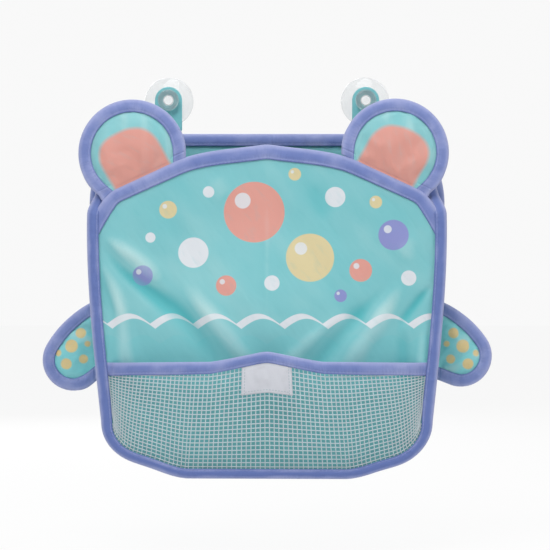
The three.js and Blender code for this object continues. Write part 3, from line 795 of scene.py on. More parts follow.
SIDE_STEPS = 60
BOW_SKEW = 0.75
BELLY_MARGIN = 2 * MM
BELLY_MIDDLE = -195 * MM
BELLY_HALF = 105 * MM
SWELL_POWER = 0.75
CREASE_RUN = 18 * MM
CREASE_BLUNT = 3 * MM
FLANK_POWER = 1.15
POCKET_FLANK = 44 * MM
POCKET_NARROW = 0.86
DROOP_BEND = 42
TUCK = 4 * MM
LEAN = 11 * MM
LEAN_BACK = 8 * MM
LEAN_RUN = 14 * MM
LEAN_START = 0.64
LEAN_SLOPE = 0.3
LEAN_IN = 0.45
RIM_RISE = 1 * MM
# Slack that the load leaves in the bottom edge, in millimetres: middle, half width and rise
SLACK = ((-94, 22, 4.5), (91, 18, 3.0), (26, 25, -1.2))
SLACK_RUN = 0.6


class Cut:
    """The bag's edges, depths and swelling, worked out from its sizes."""

    def __init__(self, sizes):
        self.sizes = sizes
        self.shoulder = sizes.crown - sizes.mouth_rise
        self.corner = self.shoulder - sizes.side_height
        self.low_half = sizes.half_width - sizes.side_taper
        self.flank = math.atan2(sizes.mouth_rise, sizes.half_width - sizes.knee)
        self.mouth_depth = middle_depth("mouth_binding")
        self.front_depth = middle_depth("front_binding")
        self.back_depth = middle_depth("back_binding")
        self.panel_depth = self.mouth_depth
        self.net_depth = self.panel_depth + PANEL_CLOTH / 2 + CLEARANCE
        self.net_height = sizes.pocket_height - FRONT_SEAM.inset - POCKET_SEAM.inset
        self.pocket_top = self.corner - sizes.corner_height + sizes.pocket_height
        self.web = sizes.tape_width + CLEARANCE + GUSSET_CLOTH / 2

    def floor(self, side=0.0, bottom=0.0):
        """Bottom edge with its oval corners, grown outwards by the reveals."""
        low = self.low_half + side
        radii = (self.sizes.corner_width, self.sizes.corner_height + bottom)
        left = arc((radii[0] - low, self.corner), radii, math.pi, 1.5 * math.pi)
        right = arc((low - radii[0], self.corner), radii, 1.5 * math.pi, 2 * math.pi)
        edge = np.vstack([left, right])
        across = edge[:, 0] / MM
        slack = sum(rise * MM * np.exp(-((across - middle) / half) ** 2) for middle, half, rise in SLACK)
        edge[:, 1] += slack * smooth((self.corner - edge[:, 1]) / (SLACK_RUN * radii[1]))
        return edge

    def lean(self, y):
        """How far the front tape leans back at its upper ends, behind the ears."""
        over = y - self.shoulder
        return LEAN_BACK * smooth(over / LEAN_RUN + LEAN_START) + LEAN_SLOPE * np.maximum(over, 0)

    def sides_and_floor(self, side=0.0, bottom=0.0):
        """U-shaped edge from the left shoulder round to the right one."""
        out = self.sizes.half_width + side
        y = np.linspace(self.shoulder, self.corner, SIDE_STEPS)[:-1]
        x = out - self.sizes.side_taper * (self.shoulder - y) / self.sizes.side_height
        if not side:
            x = x + self.bow(y)
        edge = np.stack([x, y], axis=1)
        return np.vstack([edge * (-1, 1), self.floor(side, bottom), edge[::-1]])

    def bow(self, y):
        """How far the filled front's side bows outwards at a height."""
        down = np.clip((self.shoulder - y) / self.sizes.side_height, 0, 1)
        return self.sizes.side_bow * np.sin(math.pi * down**BOW_SKEW)

    def mouth(self):
        """Arched mouth edge, from the right shoulder to the left one, with the crease's small peak."""
        sizes = self.sizes
        knee = sizes.knee + sizes.knee_run
        level = sizes.crown - sizes.knee_run * math.tan(self.flank)
        over = bend((knee, level), (sizes.knee, sizes.crown), (0, sizes.crown))
        out = sizes.half_width - TUCK
        start = (out, self.shoulder + TUCK * math.tan(self.flank))
        right = np.vstack([np.linspace(start, over[0], SIDE_STEPS)[:-1], over])
        line = np.vstack([right, right[-2::-1] * (-1, 1)])
        line[:, 1] += self.peak(line[:, 0], sizes.crease) - self.droop(line[:, 0])
        return line

    def droop(self, x):
        """How far the mouth's ends bend down towards the side tapes."""
        return DROOP_BEND * np.clip(np.abs(x) - self.sizes.half_width + self.sizes.droop, 0, None) ** 2

    def droop_under(self, joint):
        """How far the mouth droops below an ear's seam, by the place along it."""
        start, along = joint["pos_m"][0], joint["axis"][0]
        return lambda x: self.droop(start + along * x) * math.cos(self.flank)

    def peak(self, x, height):
        """Peak that the middle crease leaves in an edge, a little blunt."""
        return height * np.exp(CREASE_BLUNT / CREASE_RUN - np.hypot(x, CREASE_BLUNT) / CREASE_RUN)

    def back_top(self):
        """Top edge of the back, from its right shoulder to its left one."""
        out = self.sizes.half_width + self.sizes.side_reveal
        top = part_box("back_binding")[1].z
        radii = (out - self.sizes.back_top, top - self.shoulder)
        right = arc((self.sizes.back_top, self.shoulder), radii, 0, math.pi / 2)
        return np.vstack([right, right[::-1] * (-1, 1)])

    def belly(self, x, y):
        """Swell of the front panel."""
        across = x / (self.low_half - self.sizes.tape_width - BELLY_MARGIN)
        down = (y - BELLY_MIDDLE) / BELLY_HALF
        return self.sizes.belly * np.maximum(0, 1 - across**2 - down**2) ** 2

    def net(self, across, up, rise=0.0):
        """Point of the pocket: across from left to right, up from the bottom seam to the top edge."""
        sizes = self.sizes
        drop = (self.shoulder - self.pocket_top) / sizes.side_height
        half = sizes.half_width - sizes.side_taper * drop - FRONT_SEAM.inset
        top_x = half * (2 * across - 1)
        flank = np.clip(1 - np.hypot(top_x, CREASE_BLUNT) / POCKET_FLANK, 0, None)
        arch = 2 * across * (1 - across) * sizes.pocket_peak + sizes.pocket_crease * flank**FLANK_POWER
        high = np.stack([top_x, self.pocket_top - POCKET_SEAM.inset + arch], axis=-1)
        tape = sizes.tape_width + CLEARANCE
        insets = (FRONT_SEAM.inset, tape)
        seam, hem = (sampled(drawn_in(self.floor(), inset, FINE_STEP), across) for inset in insets)
        hem_up, hem_across = ((tape - FRONT_SEAM.inset) / size for size in (self.net_height, 2 * half))
        from_low = np.clip(up / hem_up, 0, 1)[..., None]
        inside_up = np.clip((up - hem_up) / (1 - hem_up), 0, None)
        spot = seam * (1 - from_low) + hem * from_low
        spot = spot + (high - spot) * inside_up[..., None]
        inside = np.clip((across - hem_across) / (1 - 2 * hem_across), 0, 1)
        swell = sizes.pocket_swell * (4 * inside * (1 - inside)) ** SWELL_POWER * ease(inside_up)
        return raised(spot, self.net_depth + rise + swell)


# Folds of the front panel, in millimetres: the line that each follows and its half width at both ends,
# and its height as a share of the largest
FRONT_FOLDS = (
    (((-131, -109), (-116, -120), (-98, -133), (-80, -150)), 3.2, 8.0, 1.0),
    (((-133, -114), (-118, -137), (-90, -157), (-64, -176), (-28, -228)), 3.2, 10.0, -1.3),
    (((-131, -131), (-118, -159), (-113, -180), (-110, -238)), 3.2, 7.0, 1.1),
    (((-70, -145), (-43, -176), (4, -232)), 6.0, 8.0, 0.95),
    (((132, -146), (110, -174), (101, -188)), 2.4, 4.5, -1.0),
    (((106, -180), (109, -236)), 5.0, 7.0, -1.2),
    (((110, -144), (88, -179), (46, -236)), 5.0, 9.0, 1.1),
    (((96, -148), (61, -186), (18, -236)), 5.5, 8.0, -1.1),
    (((60, -172), (30, -196), (2, -226)), 4.5, 6.5, 0.8),
    (((123, -176), (119, -236)), 3.0, 4.5, 0.8),
    (((120, -108), (104, -130)), 8.0, 10.0, 0.45),
    (((-44, -62), (-30, -84)), 8.0, 9.0, 0.4),
    (((36, -66), (50, -100)), 9.0, 10.0, -0.35),
    (((0, -46), (0, -200)), 2.4, 3.0, 0.3),
)
FOLD_FADE = 0.42
FOLD_STEP = 2.0
FOLD_OVER = 0.05


def folds(x, y, table):
    """Long soft ridges and valleys along their lines, as shares of the fold's height."""
    spots = np.stack([x.ravel(), y.ravel()], axis=1) / MM
    total = np.zeros(len(spots))
    for line, first, last, height in table:
        line = spaced(bent(line), FOLD_STEP)
        away = np.linalg.norm(spots[:, None] - line[None], axis=-1)
        along = away.argmin(axis=1) / (len(line) - 1)
        width = first + (last - first) * along
        fade = smooth((along + FOLD_OVER) / FOLD_FADE) * smooth((1 + FOLD_OVER - along) / FOLD_FADE)
        total += height * fade * np.exp(-((away.min(axis=1) / width) ** 2))
    return total.reshape(x.shape)


def bent(line):
    """A line with its corners rounded."""
    line = np.asarray(line, float)
    for _ in range(3):
        cut = np.stack([0.75 * line[:-1] + 0.25 * line[1:], 0.25 * line[:-1] + 0.75 * line[1:]], axis=1)
        line = np.vstack([line[:1], cut.reshape(-1, 2), line[-1:]])
    return line


def panel(low, high, columns, rows):
    """Grid of flat points between a lower and an upper edge, both from left to right."""
    stops = np.linspace(0, 1, columns + 1)
    low, high = (sampled(spaced(line, FINE_STEP), stops)[:, None] for line in (low, high))
    lift = np.linspace(0, 1, rows + 1)[None, :, None]
    return low * (1 - lift) + high * lift


# Folded tapes and their stitches

TAPE_PUFF = 0.75 * MM
TAPE_PUCKER = 0.22 * MM
STITCH_GROOVE = 0.35 * MM
GROOVE_WIDTH = 0.8 * MM
PUCKER_SIZES = (5.3 * MM, 7.9 * MM, 11.7 * MM)
FOLD_POINTS = 9
LEG_POINTS = 10
INNER_POINTS = 4
LEG_START = 1.25
PILLOW_POWER = 0.8


def tape_section(seam, width):
    """Closed section of a folded tape with pillowed legs: x in from its fold, y across the cloth."""
    turn = np.linspace(0.5 * math.pi, 1.5 * math.pi, FOLD_POINTS)
    fold = np.stack([seam.half * (1 + np.cos(turn)), seam.half * np.sin(turn)], axis=1)
    run = np.linspace(seam.half * LEG_START, width, LEG_POINTS)
    pillow = TAPE_PUFF * np.sin(math.pi * (run - seam.half) / (width - seam.half)) ** PILLOW_POWER
    pillow -= STITCH_GROOVE * np.exp(-(((run - width + STITCH_INSET) / GROOVE_WIDTH) ** 2))
    leg = np.stack([run, seam.half + pillow], axis=1)
    room = seam.room / 2
    inner = [(width, -room), (seam.half, -room), (seam.half, room), (width, room)]
    return np.vstack([leg[::-1], fold, leg * (1, -1), inner])


def puckers(section, seam, along, across, seed):
    """Small puckers on the outside of a tape."""
    outside = np.abs(section[:, 1]) > seam.room / 2 + TAPE_CLOTH / 2
    return outside * (ripple(along, across, PUCKER_SIZES, seed) * TAPE_PUCKER)


def tape_pattern(section, along, across, width):
    """Pattern of a tape: along it, across both its legs, and in from its open edge."""
    return np.stack([along, across + np.sign(section[:, 1]) * width, width - across], axis=-1)


def tape_rings(line, seam, width, depth, seed, closed=False, cuts=(None, None), narrow=1.0):
    """Rings of a tape along an edge, and their pattern. A cut slides an end to a slanting line."""
    section = tape_section(seam, width)
    normal, ahead = inward(line, closed), headings(line, closed)
    narrow = np.broadcast_to(narrow, len(line))[:, None, None]
    flat = line[:, None, :] + normal[:, None, :] * section[None, :, :1] * narrow
    run = travelled(line)
    for cut, station, from_end in ((cuts[0], 0, run), (cuts[1], -1, run[-1] - run)):
        if cut is None:
            continue
        through, facing = (np.array(part) for part in cut)
        slide = ((through - flat[station]) @ facing) / (ahead[station] @ facing)
        fade = np.clip(1 - from_end / (2 * width), 0, 1)[:, None, None]
        flat = flat + fade * slide[None, :, None] * ahead[station]
    along, across = crossed(run, section[:, 0])
    thick = np.abs(section[:, 1])
    puffed = np.maximum(thick - seam.half, 0) + puckers(section, seam, along, across, seed)
    if not closed:
        puffed = puffed * smooth(np.minimum(run, run[-1] - run) / width)[:, None]
    rise = np.sign(section[:, 1]) * (np.minimum(thick, seam.half) + puffed)
    return raised(flat, depth + rise), tape_pattern(section, along, across, width)


def loft(name, rings, material, pattern, closed=False):
    """Rings of one section joined in turn; an open run has its section as end caps."""
    count, corners = rings.shape[:2]
    faces = [list(face) for face in grid_faces(count, corners, ring=True, loop=closed)]
    if not closed:
        faces += [list(range(corners)), list(range(count * corners - 1, (count - 1) * corners - 1, -1))]
    piece = make_piece(name, rings, faces, material, pattern)
    if not closed:
        for cap in piece.data.polygons[-2:]:
            cap.use_smooth = False
    return piece


STITCH_RINGS = 5
STITCH_SIDES = 5
STITCH_SHARE = 0.72
STITCH_RADIUS = 0.28 * MM
STITCH_TAPER = 0.96
STITCH_TIP = 0.2
STITCH_SUNK = 0.4


def stitch_row(line, out, pitch):
    """Points, faces and pattern of a row of stitches along a line that lies on cloth facing out."""
    even = spaced(line, pitch)
    middle = (even[:-1] + even[1:]) / 2
    run = np.diff(even, axis=0)
    out = np.broadcast_to(np.asarray(out, float), middle.shape)
    side = np.cross(run, out)
    side /= np.linalg.norm(side, axis=1, keepdims=True)
    t = np.linspace(-0.5, 0.5, STITCH_RINGS)
    swell = np.cos(math.pi * t * STITCH_TAPER)
    turn = full_turn(STITCH_SIDES)
    spine = middle[:, None] + run[:, None] * (t * STITCH_SHARE)[None, :, None]
    spine = spine + out[:, None] * (STITCH_RADIUS * (swell - STITCH_SUNK))[None, :, None]
    ring = out[:, None] * np.cos(turn)[None, :, None] + side[:, None] * np.sin(turn)[None, :, None]
    thick = STITCH_RADIUS * np.maximum(swell, STITCH_TIP)
    points = spine[:, :, None] + ring[:, None] * thick[None, :, None, None]
    faces = grid_faces(STITCH_RINGS, STITCH_SIDES, ring=True)
    per = STITCH_RINGS * STITCH_SIDES
    shifted = (faces[None] + (np.arange(len(middle)) * per)[:, None, None]).reshape(-1, 4)
    pattern = np.zeros(points.shape)
    pattern[..., 0] = (t * pitch)[None, :, None]
    pattern[..., 1] = (turn * STITCH_RADIUS)[None, None, :]
    return points.reshape(-1, 3), shifted, pattern.reshape(-1, 3)


def joined(parts):
    """Several parts of points, faces and pattern as one."""
    points, faces, pattern, start = [], [], [], 0
    for part_points, part_faces, part_pattern in parts:
        points.append(part_points)
        faces += [[corner + start for corner in face] for face in part_faces]
        pattern.append(part_pattern)
        start += len(part_points)
    return np.vstack(points), faces, np.vstack(pattern)


def tape_stitches(rings):
    """Stitch rows in the grooves of a tape's front and back legs."""
    first = rings[0]
    at = min(range(LEG_POINTS), key=lambda k: abs(np.linalg.norm(first[0] - first[k]) - STITCH_INSET))
    spots = {1: at, -1: len(first) - INNER_POINTS - 1 - at}
    return [(rings[:, spot], np.array([0.0, 0.0, face])) for face, spot in spots.items()]


def sew(name, rows, pitch, material, body):
    """Rows of stitches as one piece that goes with its body."""
    points, faces, pattern = joined([stitch_row(line, out, pitch) for line, out in rows])
    stitches = make_piece(name, points, faces, material, pattern)
    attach(stitches, body)


# The net

STRAND_SIDES = 6
STRAND_FLAT = 0.8
STRAND_SHIFT = 7 * MM
STRAND_RISE = 0.35
UPRIGHT_LIMIT = 0.2


def tubes(paths, radius):
    """Points, faces and pattern of round strands along paths of equal point counts."""
    ahead = np.gradient(paths, axis=1)
    ahead /= np.linalg.norm(ahead, axis=-1, keepdims=True)
    side = np.cross(ahead, (0.0, 0.0, 1.0))
    short = np.linalg.norm(side, axis=-1, keepdims=True)
    side = np.where(short > UPRIGHT_LIMIT, side / np.maximum(short, 1e-9), (1.0, 0.0, 0.0))
    out = np.cross(side, ahead)
    turn = full_turn(STRAND_SIDES)
    cosine, sine = np.cos(turn)[:, None], np.sin(turn)[:, None]
    ring = side[..., None, :] * cosine + out[..., None, :] * sine * STRAND_FLAT
    points = paths[..., None, :] + ring * radius
    count, stations = paths.shape[:2]
    per = stations * STRAND_SIDES
    caps = [list(range(STRAND_SIDES)), list(range(per - 1, per - STRAND_SIDES - 1, -1))]
    one = [list(face) for face in grid_faces(stations, STRAND_SIDES, ring=True)] + caps
    shifted = [[corner + k * per for corner in face] for k in range(count) for face in one]
    pattern = np.zeros(points.shape)
    pattern[..., 0] = travelled(paths)[..., None] + np.arange(count)[:, None, None] * STRAND_SHIFT
    pattern[..., 1] = turn * radius
    return points.reshape(-1, 3), shifted, pattern.reshape(-1, 3)


def net_strands(place, columns, rows, radius):
    """Strands of a net both ways over a surface, passing over and under each other."""
    strands = []
    for upright, lines, cells in ((True, columns, rows), (False, rows, columns)):
        fixed, moving = crossed(np.linspace(0, 1, lines + 1), np.linspace(0, 1, 2 * cells + 1))
        across, up = (fixed, moving) if upright else (moving, fixed)
        weave = np.cos(math.pi * moving * cells) * np.where(np.arange(lines + 1) % 2, 1, -1)[:, None]
        rise = STRAND_RISE if upright else -STRAND_RISE
        strands.append(tubes(place(across, up, weave * radius * rise), radius))
    return joined(strands)


# Pads


def seat(joint):
    """Places points drawn about a folding seam, x along it, y away from it and z forwards, on the bag."""
    pos, axis = np.array(joint["pos_m"]), np.array(joint["axis"])
    along = np.array([axis[0], axis[2], 0.0])
    away = np.array([-axis[2], axis[0], 0.0])
    origin = np.array([pos[0], pos[2], -pos[1]])

    def place(points):
        points = np.asarray(points, float)
        return origin + points[..., :1] * along + points[..., 1:2] * away + points[..., 2:] * (0.0, 0.0, 1.0)

    return place


EAR_STEPS = 160
ARM_STEPS = 120
ARM_ROUND = 0.32


def ear_edge(sizes, rise):
    """Edge of an ear, from the right end of its seam round to the left end."""
    start = -math.asin(rise / sizes.ear_radius)
    radii = (sizes.ear_radius, sizes.ear_radius)
    return arc((0, rise), radii, start, math.pi - start, EAR_STEPS)


def arm_edge(sizes, sign, sag):
    """Edge of an arm: a round end joined to the seam by a bulging upper side and a straight lower one."""
    centre = np.array([-sag, sizes.arm_reach])

    def tangent(end, turn):
        span = np.array([end, 0.0]) - centre
        return math.atan2(span[1], span[0]) + turn * math.acos(sizes.arm_radius / np.linalg.norm(span))

    start = tangent(sizes.arm_top, 1) + ARM_ROUND
    end = tangent(-sizes.arm_bottom, -1) % (2 * math.pi)
    radii = (sizes.arm_radius, sizes.arm_radius)
    round_end = arc(centre, radii, start, end, ARM_STEPS)
    top = np.array([sizes.arm_top, 0.0])
    ahead = np.array([-math.sin(start), math.cos(start)])
    upper = bend(top, round_end[0] - ahead * 0.5 * np.linalg.norm(round_end[0] - top), round_end[0])
    edge = np.vstack([upper[:-1], round_end, [(-sizes.arm_bottom, 0.0)]])
    return edge if sign < 0 else edge[::-1] * (-1, 1)


RIM_GAP = 0.6


def filled(outline, step):
    """Even triangles inside a flat outline: spots, faces, and which spots lie on the outline in order."""
    low, high = outline.min(axis=0), outline.max(axis=0)
    rows = np.arange(low[1], high[1], step * math.sqrt(3) / 2)
    columns = np.arange(low[0], high[0] + step, step)
    inner = np.array([(x + (step / 2) * (k % 2), y) for k, y in enumerate(rows) for x in columns])
    closed = np.vstack([outline, outline[:1]])
    start, end = closed[:-1], closed[1:]
    crosses = (start[None, :, 1] > inner[:, None, 1]) != (end[None, :, 1] > inner[:, None, 1])
    with np.errstate(divide="ignore", invalid="ignore"):
        at = start[:, 0] + (inner[:, None, 1] - start[:, 1]) * (end - start)[:, 0] / (end - start)[:, 1]
    inside = (crosses & (inner[:, None, 0] < at)).sum(axis=1) % 2 == 1
    inner = inner[inside]
    inner = inner[distance_to(closed, inner) > RIM_GAP * step]
    spots = [Vector(p) for p in np.vstack([outline, inner]).tolist()]
    ring = list(range(len(outline)))
    made = delaunay_2d_cdt(spots, [], [ring], 1, 1e-7)
    came_from = {source: k for k, sources in enumerate(made[3]) for source in sources}
    faces = [list(face) for face in made[2]]
    return np.array([tuple(p) for p in made[0]]), faces, [came_from[k] for k in ring]


PUFF_FRAMES = 16
PUFF_MOST = 1.6 * MM
PUFF_CLOTH = {
    "quality": 6,
    "mass": 0.15,
    "tension_stiffness": 12,
    "compression_stiffness": 12,
    "shear_stiffness": 4,
    "bending_stiffness": 0.4,
    "shrink_min": -0.025,
    "use_pressure": True,
    "uniform_pressure_force": 2.0,
    "vertex_group_mass": "sewn",
}


def puff(piece, held):
    """Blows a sewn pad up a little as cloth, with its seams held, and keeps the result within a distance."""
    rest = np.array([vertex.co for vertex in piece.data.vertices])
    piece.vertex_groups.new(name="sewn").add([int(k) for k in held], 1.0, "REPLACE")
    cloth = piece.modifiers.new("puff", "CLOTH")
    for key, value in PUFF_CLOTH.items():
        setattr(cloth.settings, key, value)
    cloth.settings.effector_weights.gravity = 0
    cloth.point_cache.frame_start, cloth.point_cache.frame_end = 1, PUFF_FRAMES
    for step in range(1, PUFF_FRAMES + 1):
        bpy.context.scene.frame_set(step)
    shown = piece.evaluated_get(bpy.context.evaluated_depsgraph_get()).data
    move = np.array([vertex.co for vertex in shown.vertices]) - rest
    far = np.linalg.norm(move, axis=1, keepdims=True)
    kept = rest + move * np.minimum(1, PUFF_MOST / np.maximum(far, 1e-9))
    piece.modifiers.remove(cloth)
    piece.data.vertices.foreach_set("co", kept.astype(np.float32).ravel())
    piece.data.update()
    bpy.context.scene.frame_set(1)


PAD_STEP = 2.6 * MM
PAD_HALF = PAD_CLOTH + CLEARANCE / 2
PAD_BASE = 3 * MM
PAD_PINCH = 0.3
CROWN_RUN = 20 * MM
SEWN_REACH = 0.5 * MM
WRINKLES = (17 * MM, 23 * MM, 31 * MM)
WRINKLE_RUN = 9 * MM
WRINKLE_RISE = 0.6 * MM
WRINKLE_SHADE = 0.5 * MM


def make_pad(name, edge, joint, crown, finishes, sizes):
    """Padded shape of an ear or arm: two cloths over foam, sewn together inside the edge tape."""
    rim = drawn_in(edge, PAD_SEAM.inset, PAD_STEP)
    rim = rim[rim[:, 1] > -SEWN_REACH]
    count = max(3, round(np.linalg.norm(rim[-1] - rim[0]) / PAD_STEP))
    base = np.linspace(rim[-1], rim[0], count)[1:-1]
    base[:, 1] = -PAD_HALF
    spots, faces, ring = filled(np.vstack([rim, base]), PAD_STEP)
    x, y = spots.T
    inside = distance_to(spaced(edge, PAD_STEP), spots) - sizes.tape_width
    wrinkle = ripple(x, y, WRINKLES, len(name))
    height = PAD_HALF * np.clip(PAD_PINCH + (y + PAD_HALF) / PAD_BASE, PAD_PINCH, 1)
    height += crown * ease(inside / CROWN_RUN) * ease(y / CROWN_RUN)
    height += WRINKLE_RISE * smooth(inside / WRINKLE_RUN) * smooth(y / WRINKLE_RUN) * wrinkle
    points = np.vstack([raised(spots, height), raised(spots, -height)])
    behind = [[k + len(spots) for k in face[::-1]] for face in faces]
    walls = [[k, k + len(spots), n + len(spots), n] for k, n in zip(ring, ring[1:] + ring[:1])]
    creased = raised(spots, wrinkle * WRINKLE_SHADE)
    shape = faces + behind + walls
    piece = make_piece(name, seat(joint)(points), shape, finishes, np.tile(creased, (2, 1)))
    for face in piece.data.polygons[len(faces):2 * len(faces)]:
        face.material_index = 1
    turn_out(piece)
    sewn = np.tile(inside < SEWN_REACH, 2) | (points[:, 1] < PAD_BASE)
    puff(piece, np.nonzero(sewn)[0])
    return piece


def turn_out(piece):
    """Turns the faces of a closed mesh outwards."""
    shape = bmesh.new()
    shape.from_mesh(piece.data)
    bmesh.ops.recalc_face_normals(shape, faces=shape.faces)
    shape.to_mesh(piece.data)
    shape.free()


TAPE_START = 2.4 * MM
STRIP_LEVELS = np.array([2.8, 1.8, 0.8, -0.2, -1.1, -1.9]) * MM
STRIP_SEAM = 3
STRIP_TAPE = 6
STRIP_CLOTH = 24
STRIP_REACH = 30 * MM
STRIP_LOW = 0.55 * MM
STRIP_END = 0.4
OVER_TAPE = 0.1 * MM
OVER_CLOTH = 0.12 * MM


def crossings(line, level):
    """Where a line that rises from its start and falls to its end crosses a level, first and last."""
    top = line[:, 1].argmax()
    return [np.interp(level, half[:, 1], half[:, 0]) for half in (line[:top + 1], line[:top - 1:-1])]


def lengthened(line, reach):
    """A line carried on straight at both its ends."""
    ahead = headings(line)
    return np.vstack([line[0] - ahead[0] * reach, line, line[-1] + ahead[-1] * reach])


def make_fold(name, edge, joint, finishes, sizes, drop):
    """Strip of cloth and tape that crosses an ear's or arm's seam."""
    even = lengthened(spaced(edge, FINE_STEP), STRIP_REACH)
    inner = lengthened(drawn_in(edge, sizes.tape_width, FINE_STEP), STRIP_REACH)
    columns = []
    for level in STRIP_LEVELS:
        right, left = crossings(even, level)
        inner_right, inner_left = crossings(inner, level)
        columns.append(np.concatenate([
            np.linspace(left, inner_left, STRIP_TAPE + 1)[:-1],
            np.linspace(inner_left, inner_right, STRIP_CLOTH + 1),
            np.linspace(inner_right, right, STRIP_TAPE + 1)[1:],
        ]))
    x = np.stack(columns, axis=1)
    first, last = STRIP_TAPE, STRIP_TAPE + STRIP_CLOTH
    up = (STRIP_LEVELS - STRIP_LEVELS[-1]) / (STRIP_LEVELS[0] - STRIP_LEVELS[-1])
    y = STRIP_LEVELS - drop(x) * smooth(1 - up / up[STRIP_SEAM])
    place = np.arange(len(x))
    bound = (place <= first) | (place >= last)
    full = np.where(bound, PAD_SEAM.half + OVER_TAPE, PAD_HALF + OVER_CLOTH)
    full[[0, -1]] *= STRIP_END
    half = STRIP_LOW + (full[:, None] - STRIP_LOW) * smooth(up)
    front = np.stack([x, y, half], axis=-1)
    from_inner = np.where(x < 0, x[first] - x, x - x[last])
    pattern = np.stack([x, y, np.where(bound[:, None], from_inner, 0.0)], axis=-1)
    rings = np.concatenate([front, (front * (1, 1, -1))[:, ::-1]], axis=1)
    piece = loft(name, seat(joint)(rings), finishes, np.concatenate([pattern, pattern[:, ::-1]], axis=1))
    around = rings.shape[1]
    for face in piece.data.polygons:
        column = min(face.vertices) // around
        behind = {corner % around >= len(STRIP_LEVELS) for corner in face.vertices}
        tape = column < first or column >= last or len(face.vertices) > 4
        face.material_index = 2 if tape else int(behind == {True})
        face.use_smooth = len(behind) == 1
    turn_out(piece)
    ends = [seat(joint)(np.array([0.0, level, 0.0])) for level in STRIP_LEVELS[[-2, 0]]]
    stood(ends[0])
    stood(ends[1])
    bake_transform(piece)
    return piece


def dress(piece, body, slot, *nodes):
    """Puts a finished piece on its body and hides the nodes that it stands for; its material slot is not used.
    """
    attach(piece, body)
    if nodes:
        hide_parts(*nodes)
    return piece


# Operators


# How deep the tape's colour is in each place, or how pale below 0: the one tape painted darker or paler by
# place, as painted shade where it faces away from the lamps, most along the front's sides, and as painted
# light on the tapes of the ears and arms
PAINTED_TONES = {"front": 1.8, "mouth": 0.25, "back": 0.6, "rim": 0.4, "pocket": 0.15, "pad": -0.35}


class Maker:
    """What the operators share: what they read, and their finishes, sheets, nets and tapes."""

    bl_options = {"REGISTER", "UNDO"}

    def execute(self, context):
        self.sizes = context.scene.organizer_sizes
        self.colours = context.scene.organizer_colours
        self.cut = Cut(self.sizes)
        self.make()
        return {"FINISHED"}

    def shared(self, name, paint, *terms, **constants):
        """A finish that several pieces may share."""
        return bpy.data.materials.get(name) or finish(name, paint, *terms, **constants)

    def satin(self, name="aqua satin", ground="aqua", deep="aqua_deep", printed=None, gloss=1.0):
        tones = (getattr(self.colours, ground), self.colours.aqua_light, getattr(self.colours, deep))
        return self.shared(name, satin, tones, printed, gloss, Sheen_Weight=SATIN_SHEEN)

    def tape(self, tone):
        # each place's tape takes its painted light or painted shade from its tone
        return self.shared(f"{tone} tape", bias_tape, self.colours, PAINTED_TONES[tone], Sheen_Weight=TAPE_SHEEN)

    def sheet(self, name, node, points, finishes, thickness, pattern=None, slot="aqua_satin"):
        """A sheet of the bag over a grid of points, lined if it has several finishes."""
        piece = make_piece(name, points, grid_faces(*points.shape[:2]), finishes, pattern)
        thicken(piece, thickness, lined=isinstance(finishes, list))
        return dress(piece, "bag", slot, node)

    def netting(self, name, node, place, width, height):
        """A net of the bag over a surface of about that width and height."""
        columns, rows = (round(size / self.sizes.net_pitch) for size in (width, height))
        points, faces, pattern = net_strands(place, columns, rows, self.sizes.net_strand / 2)
        material = self.shared("net strand", strand, self.colours)
        return dress(make_piece(name, points, faces, material, pattern), "bag", "net", node)

    def bind(self, name, body, node, line, seam, depth, seed, tone, place=None, **shape):
        """A folded tape along an edge, with its stitches."""
        rings, pattern = tape_rings(line, seam, self.sizes.tape_width, depth, seed, **shape)
        rows = tape_stitches(rings)
        if place is not None:
            rings = place(rings)
            rows = [(place(row), (place(row + out) - place(row)).mean(axis=0)) for row, out in rows]
        self.sewn_tape(name, body, node, rings, pattern, rows, tone, shape.get("closed", False))

    def sewn_tape(self, name, body, node, rings, pattern, rows, tone, closed=False):
        """A tape from its rings, and the stitches of its rows."""
        tape = loft(name, rings, self.tape(tone), pattern, closed)
        dress(tape, body, "binding_tape", *([node] if node else []))
        thread = self.shared("sewing thread", spun, self.colours.thread)
        sew(f"{name}_stitches", rows, self.sizes.stitch, thread, body)


FRONT_GRID = (110, 100)
# Shares of the front panel that lie flat in its seams, and over which its folds then rise
SIDE_FLAT = 0.02
SIDE_FADE = 0.035
LOW_FADE = 0.12
TOP_FLAT = 0.03
TOP_FADE = 0.05
CRUMPLE = 0.12
CRUMPLE_SIZES = (31 * MM, 47 * MM, 63 * MM)


class ORGANIZER_OT_front(Maker, bpy.types.Operator):
    """Makes the printed front panel with its belly and soft folds"""

    bl_idname = "organizer.front"
    bl_label = "Front Panel"

    def make(self):
        sizes, cut = self.sizes, self.cut
        low = drawn_in(cut.floor(), FRONT_SEAM.inset)
        high = drawn_in(cut.mouth(), MOUTH_SEAM.inset)[::-1]
        flat = panel(low, high, *FRONT_GRID)
        flat[..., 0] *= 1 + cut.bow(flat[..., 1]) / sizes.half_width
        x, y = flat[..., 0], flat[..., 1]
        i, j = shares(flat)
        fade = smooth((np.minimum(i, 1 - i) - SIDE_FLAT) / SIDE_FADE)
        fade = fade * smooth(j / LOW_FADE) * smooth((1 - j - TOP_FLAT) / TOP_FADE)
        crumple = fade * (folds(x, y, FRONT_FOLDS) + CRUMPLE * ripple(x, y, CRUMPLE_SIZES, 4))
        points = raised(flat, cut.panel_depth + cut.belly(x, y) + sizes.fold * crumple)
        cloths = [self.satin("printed satin", printed=partial(bath_print, self.colours)), self.satin()]
        # the folds' heights, which also set the satin's painted highlight and painted shade
        pattern = raised(flat, crumple * MM)
        front = self.sheet("front_cloth", "front_panel", points, cloths, PANEL_CLOTH, pattern)


